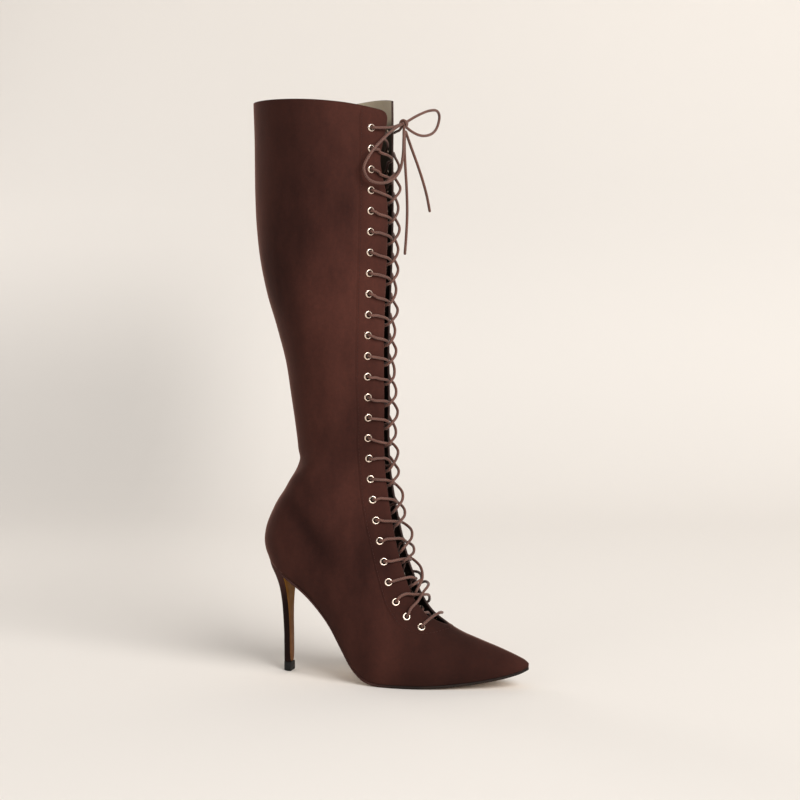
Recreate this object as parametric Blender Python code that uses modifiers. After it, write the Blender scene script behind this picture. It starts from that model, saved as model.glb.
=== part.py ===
"""Lace-up knee-high boot for the right foot: suede upper on a slim high heel.

Toe along +X, medial side along +Y, up +Z, floor at z = 0.  Sizes in the tables
are millimetres, measured from the centre of the heel tip; the meshes are in
metres, moved so that the origin is under the middle of the boot's box.

The upper is lofted through a fan of sections.  Each section runs from a point
on the sole line (or, above the heel, on the back seam) to a point on the ridge
of the vamp, the instep or the shin, and has a lateral and a medial half.
"""
import math

import bmesh
import bpy
import numpy as np
from mathutils import Matrix, Vector

for old in list(bpy.data.objects):
    bpy.data.objects.remove(old, do_unlink=True)

MM = 0.001
LATERAL, MEDIAL = -1, 1

# ---------------------------------------------------------------- named sizes
ORIGIN_X = 90.70         # from the heel tip's centre to the middle of the box
FIT_GAP = 0.3            # between neighbouring pieces
WALL = 1.8               # suede and lining
SOLE_THICK = 2.2
SOLE_EDGE = 0.4          # sole stands out past the feather line
INSOLE_THICK = 1.8
INSOLE_INSET = 3.6       # from the feather line, clear of the wall
INSOLE_END = 6.5         # the same at heel and toe
TOE_RADIUS = 7.0         # plan radius of the pointed toe
HEEL_RADIUS = 29.0       # plan radius of the heel seat
RIDGE_POWER = 1.75       # under 2 draws the front of a section to a soft ridge
THROAT_AT = 5.7          # section number where the front opening starts
THROAT_ROUND = 1.3       # sections that the round end of the opening takes
COLLAR_RADIUS = {LATERAL: 15.0, MEDIAL: 4.0}   # front corners of the two flaps
COLLAR_CUT_AT = 33.4     # section number where the collar's own line starts
SLACK_EDGE = 10.0        # the lateral front edge stands back below the bow, at most
SLACK_BELOW = 49.0       # how far below the collar
SLACK_REACH = 24.5       # and over what length

EYELETS = 26             # a side
EYELET_LOW_AT = 6.87     # section number of the lowest pair
EYELET_TOP_AT = 33.37    # section number of the top pair
LOW_PITCH = 0.87         # the two lowest pitches against the others
EYELET_OUTER = 3.5
EYELET_HOLE = 2.0
EYELET_HIGH = 0.9
EYELET_LIFT = 0.5        # ring's foot over the true wall, because facets differ

LACE_RADIUS = 1.2
LACE_LIFT = 3.7          # cord's axis over the wall
LACE_OVER = 3.6          # extra lift of the upper strand at a crossing
LACE_TURN = 2.4          # half the turn of the cord at an eyelet

TIP_HIGH = 7.7
FLAP_THICK = 1.0
BREAST_END = 1.5         # where the sole turns down in front of the heel


def table(columns, *rows):
    """Named columns of a short table."""
    data = np.array(rows, float)
    return {name: data[:, i] for i, name in enumerate(columns.split())}


# Sole line, heel to toe: height of the sole's underside, half widths of the
# feather line on each side of the axis, and the axis' own shift.
SOLE_LINE = table(
    "x      z     lat   med  axis",
    (-17.5, 96.4, 21.5, 21.5, 0.0),
    (-4,   88.6, 24.0, 24.0, 0.0),
    (10,   80.0, 25.0, 25.0, 0.0),
    (22,   71.0, 24.5, 24.0, 0.0),
    (34,   58.8, 24.0, 22.0, 0.0),
    (46,   44.0, 25.0, 21.0, 0.0),
    (56,   28.0, 27.0, 22.5, 0.0),
    (66,   13.0, 29.5, 25.5, 0.0),
    (76,    4.2, 32.0, 29.0, 0.0),
    (88,    0.4, 33.5, 32.5, 0.0),
    (102,   0.0, 34.0, 35.0, 0.0),
    (120,   0.0, 32.5, 35.5, 0.2),
    (140,   0.8, 28.5, 32.5, 0.8),
    (160,   2.8, 23.0, 27.0, 1.5),
    (180,   5.8, 16.8, 19.5, 2.1),
    (196,   9.2, 11.0, 12.5, 2.6),
    (205,  12.0,  7.6,  8.5, 2.9),
    (211,  14.6,  5.6,  6.0, 3.0))

# Foot sections: station on the sole line, ridge point, half widths, place of
# the widest point along the section (-1 sole, +1 ridge), sideways shift of the
# ridge, half opening of the throat and distance from ridge to eyelet.
FOOT = table(
    "x_back x_front z_front lat   med  widest y_front gap  eyelet",
    (211,   211.3,  20.0,  6.0,  6.3, -.30,  3.0,   0.0, 20.0),
    (208,   208.3,  22.2,  7.4,  8.0, -.30,  3.0,   0.0, 20.0),
    (202,   202.0,  25.2, 10.2, 10.9, -.35,  3.0,   0.0, 20.0),
    (190,   188.5,  30.4, 15.3, 16.8, -.40,  3.0,   0.0, 20.0),
    (170,   168.0,  37.2, 22.2, 25.6, -.45,  3.0,   0.0, 20.0),
    (147,   150.0,  43.8, 29.5, 33.4, -.50,  3.0,   4.0, 20.0),
    (128,   138.5,  50.4, 34.0, 37.2, -.52,  3.0,   7.0, 21.0),
    (108,   126.0,  60.0, 36.8, 38.6, -.55,  3.0,  10.0, 24.5),
    (90,    116.5,  76.0, 37.0, 37.0, -.55,  2.5,  13.0, 31.0),
    (74,    110.0,  96.0, 35.8, 34.6, -.48,  2.0,  14.5, 35.5),
    (58,    105.0, 114.0, 34.0, 32.5, -.40,  1.5,  13.5, 33.0),
    (42,    101.0, 131.0, 32.8, 31.8, -.34,  1.0,  12.0, 29.5),
    (26,     97.5, 147.0, 32.2, 31.8, -.30,  0.7,  10.5, 27.5),
    (10,     95.0, 161.0, 32.2, 32.0, -.28,  0.4,   9.6, 26.0),
    (-3,     93.3, 172.0, 32.3, 32.3, -.28,  0.2,   9.0, 25.0),
    (-11.5,  92.4, 181.0, 32.5, 32.5, -.28,  0.0,   8.6, 24.5),
    (-17.5,  91.8, 189.0, 32.8, 32.8, -.28,  0.0,   8.4, 24.3))

# Leg sections: back seam point, shin point, half widths and the rest as above.
LEG = table(
    "x_back z_back x_front z_front lat   med  widest gap eyelet",
    (-19.5, 104.0, 91.5, 192.5, 32.9, 32.9, -.27,  8.3, 24.2),
    (-20.8, 110.5, 91.3, 196.5, 33.0, 33.0, -.25,  8.3, 24.2),
    (-19.6, 122.5, 91.0, 203.0, 33.0, 33.0, -.22,  8.2, 24.3),
    (-12.4, 140.0, 90.6, 212.0, 32.8, 32.8, -.18,  8.1, 24.5),
    (-1.0,  160.0, 90.4, 222.0, 32.6, 32.6, -.12,  8.0, 24.8),
    (7.5,   173.5, 90.3, 231.0, 32.6, 32.6, -.08,  8.0, 25.2),
    (10.2,  182.0, 90.2, 237.0, 32.8, 32.8, -.05,  8.0, 25.5),
    (10.0,  191.0, 90.2, 243.0, 33.2, 33.2, -.03,  8.0, 25.8),
    (7.9,   210.0, 90.0, 256.0, 34.5, 34.5,  .00,  8.0, 26.0),
    (3.6,   240.0, 90.0, 277.0, 37.5, 37.5,  .00,  8.0, 26.3),
    (-1.2,  268.0, 90.2, 297.0, 41.0, 41.0,  .00,  8.0, 26.6),
    (-8.6,  296.0, 90.6, 319.0, 45.0, 45.0,  .00,  8.0, 27.0),
    (-17.5, 325.0, 91.2, 343.0, 48.5, 48.5,  .00,  8.0, 27.4),
    (-23.5, 353.0, 92.0, 366.0, 51.0, 51.0,  .00,  8.0, 27.8),
    (-27.0, 382.0, 92.6, 391.0, 52.5, 52.5,  .00,  7.8, 28.0),
    (-28.4, 410.0, 92.8, 416.0, 53.0, 53.0,  .00,  7.6, 27.8),
    (-28.8, 450.0, 92.8, 452.0, 53.0, 53.0,  .00,  7.6, 27.4),
    (-29.9, 489.4, 92.8, 487.4, 53.0, 53.0,  .00,  7.6, 27.2))

# How the collar's line rises or dips on each side, from its back to its front.
COLLAR_RISE = table(
    "along lateral medial",
    (0.00,  0.0, 0.0),
    (0.30, -0.2, 1.0),
    (0.50, -0.7, 4.0),
    (0.65, -1.5, 6.3),
    (0.80, -3.1, 7.0),
    (0.93, -5.8, 5.2),
    (1.00, -7.8, 2.8))

# Heel rows, tip to seat: back edge, front (breast) edge and half width.
HEEL = table(
    "back_x back_z breast_x breast_z half",
    (-4.6,   8.0,  1.9,   8.0,  4.7),
    (-4.9,  31.0,  1.7,  31.0,  4.7),
    (-5.7,  47.0,  1.3,  46.5,  5.3),
    (-6.7,  60.0,  1.0,  58.0,  6.8),
    (-8.8,  73.0,  0.8,  67.5,  9.2),
    (-11.9, 83.0,  0.8,  75.5, 12.6),
    (-15.2, 91.5,  0.9,  82.3, 17.2),
    (-17.3, 97.4,  1.0,  88.0, 21.4))

# The bow, as seen from the front: distance round from the ridge (lateral
# negative), height, and lift over the wall.
KNOT = table("around height lift", (2.0, 470.5, 10.0))
LATERAL_LOOP = table(
    "around height lift",
    (1.0,   470.5, 10.0),
    (-9.0,  465.5,  9.0),
    (-22.0, 455.0,  8.2),
    (-33.0, 442.0,  7.6),
    (-38.0, 430.0,  7.2),
    (-34.0, 421.5,  7.2),
    (-24.0, 418.5,  7.6),
    (-13.0, 421.5,  8.6),
    (-5.5,  430.0, 10.5),
    (-2.5,  443.0, 11.5),
    (-0.5,  457.0, 11.0),
    (1.0,   468.5, 10.5))
MEDIAL_LOOP = table(
    "around height lift",
    (3.0,   470.5, 10.0),
    (9.0,   475.0, 15.0),
    (15.0,  480.5, 24.0),
    (20.0,  484.5, 34.0),
    (24.0,  485.0, 42.0),
    (27.0,  481.0, 46.0),
    (27.0,  474.5, 45.0),
    (24.0,  467.5, 40.0),
    (19.0,  463.0, 32.0),
    (13.0,  462.0, 23.0),
    (7.0,   465.5, 14.5),
    (3.0,   469.5, 10.0))
HANGING_ENDS = table(
    "around height lift",
    (4.0,   360.5, 11.5),
    (5.0,   375.0, 12.0),
    (5.0,   395.0, 12.5),
    (4.5,   415.0, 12.0),
    (4.0,   433.0, 11.0),
    (3.0,   449.0, 10.5),
    (2.0,   459.0, 10.8),
    (2.8,   464.3, 11.2),
    (4.6,   461.0, 12.2),
    (8.0,   451.0, 15.5),
    (12.0,  438.0, 20.5),
    (16.0,  424.0, 26.0),
    (19.5,  410.0, 31.0),
    (22.0,  398.0, 34.5))

# Colours, roughness and metallic value of each material.
LOOKS = {
    "suede":       ((0.060, 0.024, 0.018), 0.92, 0.0),
    "sole":        ((0.300, 0.190, 0.095), 0.60, 0.0),
    "lining":      ((0.330, 0.260, 0.190), 0.80, 0.0),
    "top_piece":   ((0.012, 0.012, 0.013), 0.45, 0.0),
    "eyelet":      ((0.820, 0.680, 0.580), 0.28, 1.0),
    "cord":        ((0.130, 0.065, 0.045), 0.60, 0.0),
}


# ------------------------------------------------------------- interpolation
def smooth(x, y, q):
    """Cubic through the rows of a table, with slopes from both neighbours."""
    q = np.clip(np.asarray(q, float), x[0], x[-1])
    step = np.diff(x)
    rise = np.diff(y) / step
    slope = np.empty_like(y)
    slope[1:-1] = (rise[:-1] * step[1:] + rise[1:] * step[:-1]) / (step[1:] + step[:-1])
    slope[0], slope[-1] = rise[0], rise[-1]
    i = np.clip(np.searchsorted(x, q, side="right") - 1, 0, len(x) - 2)
    h = x[i + 1] - x[i]
    t = (q - x[i]) / h
    return ((1 + 2 * t) * (1 - t) ** 2 * y[i] + t * (1 - t) ** 2 * h * slope[i]
            + t * t * (3 - 2 * t) * y[i + 1] + t * t * (t - 1) * h * slope[i + 1])


HEEL_X, TOE_X = SOLE_LINE["x"][0], SOLE_LINE["x"][-1]


def quarter_round(distance, radius):
    """Rises from 0 at an end to 1 one radius in, as a circle does in plan."""
    d = np.clip(distance / radius, 0, 1)
    return np.sqrt(np.clip(1 - (1 - d) ** 2, 0, 1))


def toe_round(x):
    return quarter_round(TOE_X - x, TOE_RADIUS)


def sole(column, x):
    value = smooth(SOLE_LINE["x"], SOLE_LINE[column], x)
    return np.maximum(value, 0.0) if column == "z" else value


def steepness(x):
    """Length of the sole line for each unit of x."""
    rise = (sole("z", x + 0.5) - sole("z", x - 0.5)) / (np.clip(x + 0.5, HEEL_X, TOE_X)
                                                        - np.clip(x - 0.5, HEEL_X, TOE_X))
    return np.sqrt(1 + rise ** 2)


def sole_top(x):
    return sole("z", x) + SOLE_THICK


def feather_z(x):
    return sole_top(x) + FIT_GAP * steepness(x)


def feather_half(x, side):
    width = sole("lat" if side == LATERAL else "med", x)
    return width * toe_round(x) * quarter_round(x - HEEL_X, HEEL_RADIUS)


# ------------------------------------------------------------------ sections
def all_sections():
    """Foot and leg tables as one, with a running length for interpolation."""
    foot = dict(FOOT)
    foot["z_back"] = feather_z(FOOT["x_back"])
    leg = dict(LEG)
    leg["y_front"] = np.zeros_like(LEG["gap"])
    both = {name: np.concatenate([foot[name], leg[name]]) for name in foot}
    run = (np.hypot(np.diff(both["x_back"]), np.diff(both["z_back"]))
           + np.hypot(np.diff(both["x_front"]), np.diff(both["z_front"])))
    return both, np.concatenate([[0.0], np.cumsum(run)])


SECTIONS, RUN = all_sections()
HEEL_AT = len(FOOT["x_back"]) - 1        # section number at the back of the heel seat
COLLAR_AT = len(RUN) - 1


def section(at):
    """Every column at a section number, which may lie between two rows."""
    run = np.interp(at, np.arange(len(RUN)), RUN)
    cut = {name: float(smooth(RUN, column, run)) for name, column in SECTIONS.items()}
    if at > HEEL_AT:                     # the back seam starts afresh at the heel seat
        for name in ("x_back", "z_back"):
            cut[name] = float(smooth(RUN[HEEL_AT:], SECTIONS[name][HEEL_AT:], run))
    return cut


def half_contour(at, side):
    """One half of a section, from the sole or back seam to the ridge, and its lengths."""
    cut = section(at)
    half = cut["lat"] if side == LATERAL else cut["med"]
    x_back, z_back, y_back, foot_half = cut["x_back"], cut["z_back"], 0.0, 0.0
    if at <= HEEL_AT:
        x_back = min(max(x_back, HEEL_X), TOE_X)
        z_back = float(feather_z(x_back))
        y_back = float(sole("axis", x_back))
        foot_half = float(feather_half(x_back, side))
        half = max(half * float(toe_round(x_back)), foot_half)
    # an ellipse from the feather line (already part way round it) to the widest
    # point, then a softly pointed one to the ridge
    begun = min(foot_half / half, 0.97) if half > 0.01 else 0.9
    turn = np.linspace(math.asin(begun), math.pi / 2, 48)
    over = np.linspace(0, math.pi / 2, 48)[1:]
    power = 2 / RIDGE_POWER
    low = cut["widest"] - (1 + cut["widest"]) * np.cos(turn) / math.cos(turn[0])
    high = cut["widest"] + (1 - cut["widest"]) * np.sin(over) ** power
    along = (np.concatenate([low, high]) + 1) / 2
    out = np.concatenate([foot_half + (half - foot_half) * (np.sin(turn) - begun) / (1 - begun),
                          half * np.cos(over) ** power])
    points = np.stack([x_back + (cut["x_front"] - x_back) * along,
                       y_back + (cut["y_front"] - y_back) * along + side * out,
                       z_back + (cut["z_front"] - z_back) * along], axis=1)
    if at > COLLAR_CUT_AT:               # the collar dips on one side in front, rises on the other
        share = ((at - COLLAR_CUT_AT) / (COLLAR_AT - COLLAR_CUT_AT)) ** 2
        ridge = np.clip(np.linalg.norm(points - points[-1], axis=1) / 6.0, 0, 1)
        rise = COLLAR_RISE["lateral" if side == LATERAL else "medial"]
        points[:, 2] += smooth(COLLAR_RISE["along"], rise, along) * share * ridge
    length = np.concatenate([[0.0], np.cumsum(np.linalg.norm(np.diff(points, axis=0), axis=1))])
    return points, length


def opening(at, side):
    """Distance from the ridge to the flap's edge, with round throat and collar corner."""
    if at <= THROAT_AT:
        return 0.0
    gap = section(at)["gap"] * float(quarter_round(at - THROAT_AT, THROAT_ROUND))
    below = SECTIONS["z_front"][-1] - section(at)["z_front"]
    if side == LATERAL:
        gap += SLACK_EDGE * math.exp(-((below - SLACK_BELOW) / SLACK_REACH) ** 2)
    radius = COLLAR_RADIUS[side]
    if below < radius:
        gap += radius - math.sqrt(radius ** 2 - (radius - below) ** 2)
    return gap


def wall_row(at, side, count):
    points, length = half_contour(at, side)
    step = np.linspace(0, 1, count + 1)
    step = step - 0.45 * np.sin(2 * math.pi * step) / (2 * math.pi)      # closer at both edges
    stops = step * (length[-1] - opening(at, side))
    return np.stack([np.interp(stops, length, points[:, k]) for k in range(3)], axis=1)


def wall_point(at, around):
    """Point of the closed wall at a distance round from the ridge (lateral negative)."""
    side = LATERAL if around < 0 else MEDIAL
    points, length = half_contour(at, side)
    stop = length[-1] - abs(around)
    return np.array([np.interp(stop, length, points[:, k]) for k in range(3)])


def wall_frame(at, around):
    """Point, outward normal and upward direction of the wall."""
    here = wall_point(at, around)
    up = wall_point(min(at + 0.05, COLLAR_AT), around) - wall_point(at - 0.05, around)
    across = wall_point(at, around + 1.5) - wall_point(at, around - 1.5)
    normal = np.cross(across, up)
    return here, normal / np.linalg.norm(normal), up / np.linalg.norm(up)


def section_at_height(height, around):
    """Section number whose wall point has a height, found by halving."""
    low, high = THROAT_AT, COLLAR_AT
    for _ in range(40):
        middle = (low + high) / 2
        if wall_point(middle, around)[2] < height:
            low = middle
        else:
            high = middle
    return (low + high) / 2


# ------------------------------------------------------------ object helpers
boot = bpy.data.collections.new("lace_up_knee_boot")
cutters = bpy.data.collections.new("joined_in")
bpy.context.scene.collection.children.link(boot)
bpy.context.scene.collection.children.link(cutters)
frame = bpy.data.objects.new("boot_frame", None)
boot.objects.link(frame)


def material(name):
    colour, roughness, metallic = LOOKS[name]
    made = bpy.data.materials.get(name)
    if made is None:
        made = bpy.data.materials.new(name)
        made.use_nodes = True
        shader = made.node_tree.nodes["Principled BSDF"]
        shader.inputs["Base Color"].default_value = (*colour, 1.0)
        shader.inputs["Roughness"].default_value = roughness
        shader.inputs["Metallic"].default_value = metallic
        made.diffuse_color = (*colour, 1.0)
    return made


def metres(point):
    return Vector(((point[0] - ORIGIN_X) * MM, point[1] * MM, point[2] * MM))


def add(name, data, look, collection=None):
    ob = bpy.data.objects.new(name, data)
    data.materials.append(material(look))
    (collection or boot).objects.link(ob)
    ob.parent = frame
    return ob


def mesh_from(bm, name, sharp=40):
    mesh = bpy.data.meshes.new(name)
    bm.to_mesh(mesh)
    bm.free()
    mesh.shade_smooth()
    mesh.set_sharp_from_angle(angle=math.radians(sharp))
    return mesh


def loft(name, rings, sharp=40):
    """Closed solid through rings of equal length, with flat ends."""
    bm = bmesh.new()
    verts = [[bm.verts.new(metres(p)) for p in ring] for ring in rings]
    count = len(rings[0])
    for a, b in zip(verts, verts[1:]):
        for i in range(count):
            j = (i + 1) % count
            bm.faces.new((a[i], a[j], b[j], b[i]))
    bm.faces.new(verts[0][::-1])
    bm.faces.new(verts[-1])
    bmesh.ops.recalc_face_normals(bm, faces=bm.faces)
    return mesh_from(bm, name, sharp)


def tube(name, points, radius, look, sides=1):
    curve = bpy.data.curves.new(name, "CURVE")
    curve.dimensions = "3D"
    curve.bevel_depth = radius * MM
    curve.bevel_resolution = sides
    curve.use_fill_caps = True
    spline = curve.splines.new("POLY")
    spline.points.add(len(points) - 1)
    for slot, p in zip(spline.points, points):
        slot.co = (*metres(p), 1.0)
    return add(name, curve, look)


def tube_as_mesh(name, points, radius, look, sides=1):
    """The same tube as a welded mesh, for joining to another piece."""
    curve = tube(name + "_route", points, radius, look, sides)
    bpy.context.view_layer.update()
    mesh = bpy.data.meshes.new_from_object(
        curve.evaluated_get(bpy.context.evaluated_depsgraph_get()))
    bm = bmesh.new()
    bm.from_mesh(mesh)
    bmesh.ops.remove_doubles(bm, verts=bm.verts, dist=0.00001)
    bm.to_mesh(mesh)
    bm.free()
    mesh.materials.clear()
    made = add(name, mesh, look)
    made.matrix_world = curve.matrix_world
    bpy.data.objects.remove(curve, do_unlink=True)
    return made


def join_in(ob, other):
    """Boolean union with another solid, which then stays hidden."""
    boot.objects.unlink(other)
    cutters.objects.link(other)
    other.hide_render = True
    other.display_type = "WIRE"
    union = ob.modifiers.new("join_" + other.name, "BOOLEAN")
    union.operation = "UNION"
    union.solver = "EXACT"
    union.object = other


def smooth_route(points, spacing):
    """Evenly spaced points of a smooth curve through a route's own points."""
    points = np.array(points, float)
    knot = np.concatenate([[0.0], np.cumsum(np.linalg.norm(np.diff(points, axis=0), axis=1))])
    fine = np.linspace(0, knot[-1], 400)
    curve = np.stack([smooth(knot, points[:, k].copy(), fine) for k in range(3)], axis=1)
    run = np.concatenate([[0.0], np.cumsum(np.linalg.norm(np.diff(curve, axis=0), axis=1))])
    stops = np.linspace(0, run[-1], max(3, int(round(run[-1] / spacing)) + 1))
    return np.stack([np.interp(stops, run, curve[:, k]) for k in range(3)], axis=1)


# --------------------------------------------------------------------- upper
def crowd(start, end, count, power):
    """Section numbers from start to end, crowded at the start when power is over 1."""
    return start + (end - start) * np.linspace(0, 1, count, endpoint=False) ** power


def build_upper():
    corner = COLLAR_AT - 0.45
    places = np.concatenate([
        crowd(0, 2, 6, 2.0),                              # round of the toe
        crowd(2, THROAT_AT, 5, 1.0),                      # vamp
        crowd(THROAT_AT, THROAT_AT + 2.4, 6, 1.7),        # foot of the throat
        crowd(THROAT_AT + 2.4, HEEL_AT - 2, 10, 1.0),      # instep and arch
        crowd(HEEL_AT, HEEL_AT - 2, 5, 2.0)[::-1],        # round of the heel seat
        crowd(HEEL_AT + 0.5, HEEL_AT + 8, 8, 1.0),        # heel and ankle
        crowd(HEEL_AT + 8, COLLAR_AT - 3, 6, 1.0),        # shaft
        crowd(COLLAR_AT - 3, corner, 5, 1.0),             # slack edge below the bow
        crowd(COLLAR_AT, corner - 0.02, 5, 2.0)[::-1]])   # corners of the collar
    across = 10
    bm = bmesh.new()
    for side in (LATERAL, MEDIAL):
        grid = [[bm.verts.new(metres(p)) for p in wall_row(at, side, across)] for at in places]
        for a, b in zip(grid, grid[1:]):
            for j in range(across):
                quad = (a[j], a[j + 1], b[j + 1], b[j])
                bm.faces.new(quad if side == LATERAL else quad[::-1])
    bmesh.ops.remove_doubles(bm, verts=bm.verts, dist=0.000002)
    ob = add("upper", mesh_from(bm, "upper", 60), "suede")
    wall = ob.modifiers.new("wall", "SOLIDIFY")
    wall.thickness = WALL * MM
    wall.offset = -1.0
    wall.use_even_offset = True
    wall.thickness_clamp = 0.0
    wall.use_quality_normals = True
    return ob


# -------------------------------------------------------- outsole and insole
def ribbon(name, places, bottom, top, half):
    rings = []
    for x in places:
        axis = float(sole("axis", x))
        lat, med = axis - half(x, LATERAL), axis + half(x, MEDIAL)
        low, high = bottom(x), top(x)
        rings.append([(x, lat, low), (x, axis, low), (x, med, low),
                      (x, med, high), (x, axis, high), (x, lat, high)])
    return loft(name, rings)


def stations(start, end, round_heel=0.0, round_toe=0.0):
    """Shared stations along the sole, so that neighbouring ribbons keep their gap."""
    shared = np.concatenate([np.linspace(HEEL_X, 8, 6, endpoint=False),
                             np.linspace(8, 92, 17, endpoint=False),
                             np.linspace(92, TOE_X, 13)])
    inside = shared[(shared > start + round_heel + 0.5) & (shared < end - round_toe - 0.5)]
    heel = start + round_heel * np.linspace(0, 1, 5) ** 2 if round_heel else [start]
    toe = end - round_toe * np.linspace(1, 0, 6) ** 2
    return np.concatenate([heel, inside, toe])


def build_outsole():
    sole_mesh = ribbon("outsole", stations(BREAST_END, TOE_X - 0.1, round_toe=9.0),
                       lambda x: float(sole("z", x)),
                       lambda x: float(sole_top(x)),
                       lambda x, side: float(feather_half(x, side)) + SOLE_EDGE)
    ob = add("outsole", sole_mesh, "sole")
    # flap of the sole, turned down over the front of the heel
    rings = []
    for t in np.linspace(0.03, 6.55, 10):
        row = heel_row(t)
        x = row["breast_x"] + FIT_GAP
        half = (row["half"] - 0.4) * (0.35 + 0.65 * float(quarter_round(t, 0.5)))
        rings.append([(x, -half, row["breast_z"]), (x + FLAP_THICK, -half, row["breast_z"]),
                      (x + FLAP_THICK, half, row["breast_z"]), (x, half, row["breast_z"])])
    join_in(ob, add("breast_flap", loft("breast_flap", rings), "sole"))
    return ob


def build_insole():
    toe = TOE_X - INSOLE_END
    heel = HEEL_X + INSOLE_END
    return add("insole", ribbon(
        "insole", stations(heel, toe, round_heel=9.0, round_toe=8.0),
        lambda x: float(feather_z(x)),
        lambda x: float(feather_z(x)) + INSOLE_THICK,
        lambda x, side: max(float(feather_half(x, side)) - INSOLE_INSET, 0.4)), "lining")


# ---------------------------------------------------------- heel and its tip
def heel_row(t):
    rows = np.arange(len(HEEL["half"]), dtype=float)
    return {name: float(smooth(rows, column, t)) for name, column in HEEL.items()}


def d_ring(back_x, back_z, breast_x, breast_z, half, count=16):
    """D-shaped outline: flat in front, round behind."""
    ring = []
    for turn in np.linspace(-math.pi / 2, math.pi / 2, count):
        back = math.cos(turn) ** 0.95
        ring.append((breast_x + (back_x - breast_x) * back, half * math.sin(turn),
                     breast_z + (back_z - breast_z) * back))
    return ring


def build_heel():
    rings = [d_ring(**heel_row(t)) for t in np.linspace(0, len(HEEL["half"]) - 1, 13)]
    seat = []
    for x, y, _ in rings[-1]:            # the seat follows the feather line
        side = LATERAL if y < 0 else MEDIAL
        seat.append((x, side * min(abs(y), float(feather_half(x, side))), float(sole_top(x))))
    rings[-1] = seat
    return add("heel", loft("heel", rings, 50), "suede")


def build_heel_tip():
    low = dict(back_x=-4.7, breast_x=2.9, half=4.8)
    high = dict(back_x=-4.8, breast_x=3.0, half=4.9)
    rings = [d_ring(back_z=0.0, breast_z=0.0, **low),
             d_ring(back_z=0.8, breast_z=0.8, **high),
             d_ring(back_z=TIP_HIGH, breast_z=TIP_HIGH, **high)]
    return add("heel_tip", loft("heel_tip", rings), "top_piece")


# ------------------------------------------------------------------- eyelets
def eyelet_places():
    """Section numbers of the eyelets, top pair first, spaced along the row, closer at the bottom."""
    fine = np.linspace(EYELET_TOP_AT, EYELET_LOW_AT, 160)
    line = np.array([wall_point(at, -section(at)["eyelet"]) for at in fine])
    run = np.concatenate([[0.0], np.cumsum(np.linalg.norm(np.diff(line, axis=0), axis=1))])
    pitch = np.ones(EYELETS - 1)
    pitch[-2:] = LOW_PITCH
    stops = np.concatenate([[0.0], np.cumsum(pitch)])
    return np.interp(run[-1] * stops / stops[-1], run, fine)


def eyelet_mesh():
    """Ring profile for a Screw modifier."""
    bm = bmesh.new()
    profile = [bm.verts.new((r * MM, 0, z * MM)) for r, z in
               ((EYELET_HOLE, 0.0), (EYELET_HOLE + 0.7, EYELET_HIGH), (EYELET_OUTER, 0.0))]
    for a, b in zip(profile, profile[1:] + profile[:1]):
        bm.edges.new((a, b))
    mesh = bpy.data.meshes.new("eyelet")
    bm.to_mesh(mesh)
    bm.free()
    mesh.materials.append(material("eyelet"))
    return mesh


def build_eyelets(places):
    ring = eyelet_mesh()
    for side, word in ((LATERAL, "lateral"), (MEDIAL, "medial")):
        for k, at in enumerate(places, 1):
            here, normal, up = wall_frame(at, side * section(at)["eyelet"])
            ob = bpy.data.objects.new("eyelet_%s_%02d" % (word, k), ring)
            boot.objects.link(ob)
            ob.parent = frame
            z = Vector(normal)
            x = Vector(np.cross(up, normal)).normalized()
            turn = Matrix((x, z.cross(x), z)).transposed().to_4x4()
            ob.matrix_world = Matrix.Translation(metres(here + normal * EYELET_LIFT)) @ turn
            screw = ob.modifiers.new("turned", "SCREW")
            screw.axis = "Z"
            screw.steps = screw.render_steps = 8
            screw.use_merge_vertices = True
            screw.merge_threshold = 0.000001
            screw.use_normal_calculate = True
            screw.use_normal_flip = True


# ---------------------------------------------------------------------- lace
def off_wall(at, around, lift):
    here, normal, _ = wall_frame(at, around)
    return here + normal * lift


def build_lace(places):
    """One cord: up one zig-zag, over the bottom bar and back up the other."""
    reach = [section(at)["eyelet"] for at in places]
    pitch = np.abs(np.gradient(places))
    step = 17.0

    def turn_at(k, side, rising):
        """Two points of the turn at an eyelet."""
        shift = LACE_TURN / step * pitch[k]
        pair = [off_wall(places[k] + shift, side * reach[k], LACE_LIFT),
                off_wall(places[k] - shift, side * reach[k], LACE_LIFT)]
        return pair[::-1] if rising else pair

    def strand(k, side):
        """From eyelet k on a side down to the next eyelet on the other side."""
        over = LACE_OVER if side == MEDIAL else 0.0
        points = []
        for t in (0.3, 0.7):
            at = places[k] + (places[k + 1] - places[k]) * t
            around = side * (reach[k] * (1 - t) - reach[k + 1] * t)
            points.append(off_wall(at, around, LACE_LIFT + over))
        return points

    def zigzag(side):
        route = []
        for k in range(EYELETS):
            route += turn_at(k, side, False)
            if k < EYELETS - 1:
                route += strand(k, side)
                side = -side
        return route, side

    start, low_side = zigzag(LATERAL)
    back, _ = zigzag(MEDIAL)
    low = EYELETS - 1
    bar = [off_wall(places[low] - 0.12, low_side * reach[low] * t, LACE_LIFT)
           for t in (0.5, 0.0, -0.5)]
    first = off_wall(places[0] + 0.05, LATERAL * reach[0] * 0.5, LACE_LIFT + 0.6)
    last = off_wall(places[0] + 0.05, MEDIAL * reach[0] * 0.5, LACE_LIFT + 0.6)
    route = [first] + start[1:-1] + start[-1:] + bar + back[::-1][:-1] + [last]
    return tube("lace", route, LACE_RADIUS, "cord")


def by_height(rows):
    """Points of a bow table."""
    made = []
    for around, height, lift in zip(rows["around"], rows["height"], rows["lift"]):
        made.append(off_wall(section_at_height(height, around), around, lift))
    return made


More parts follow.
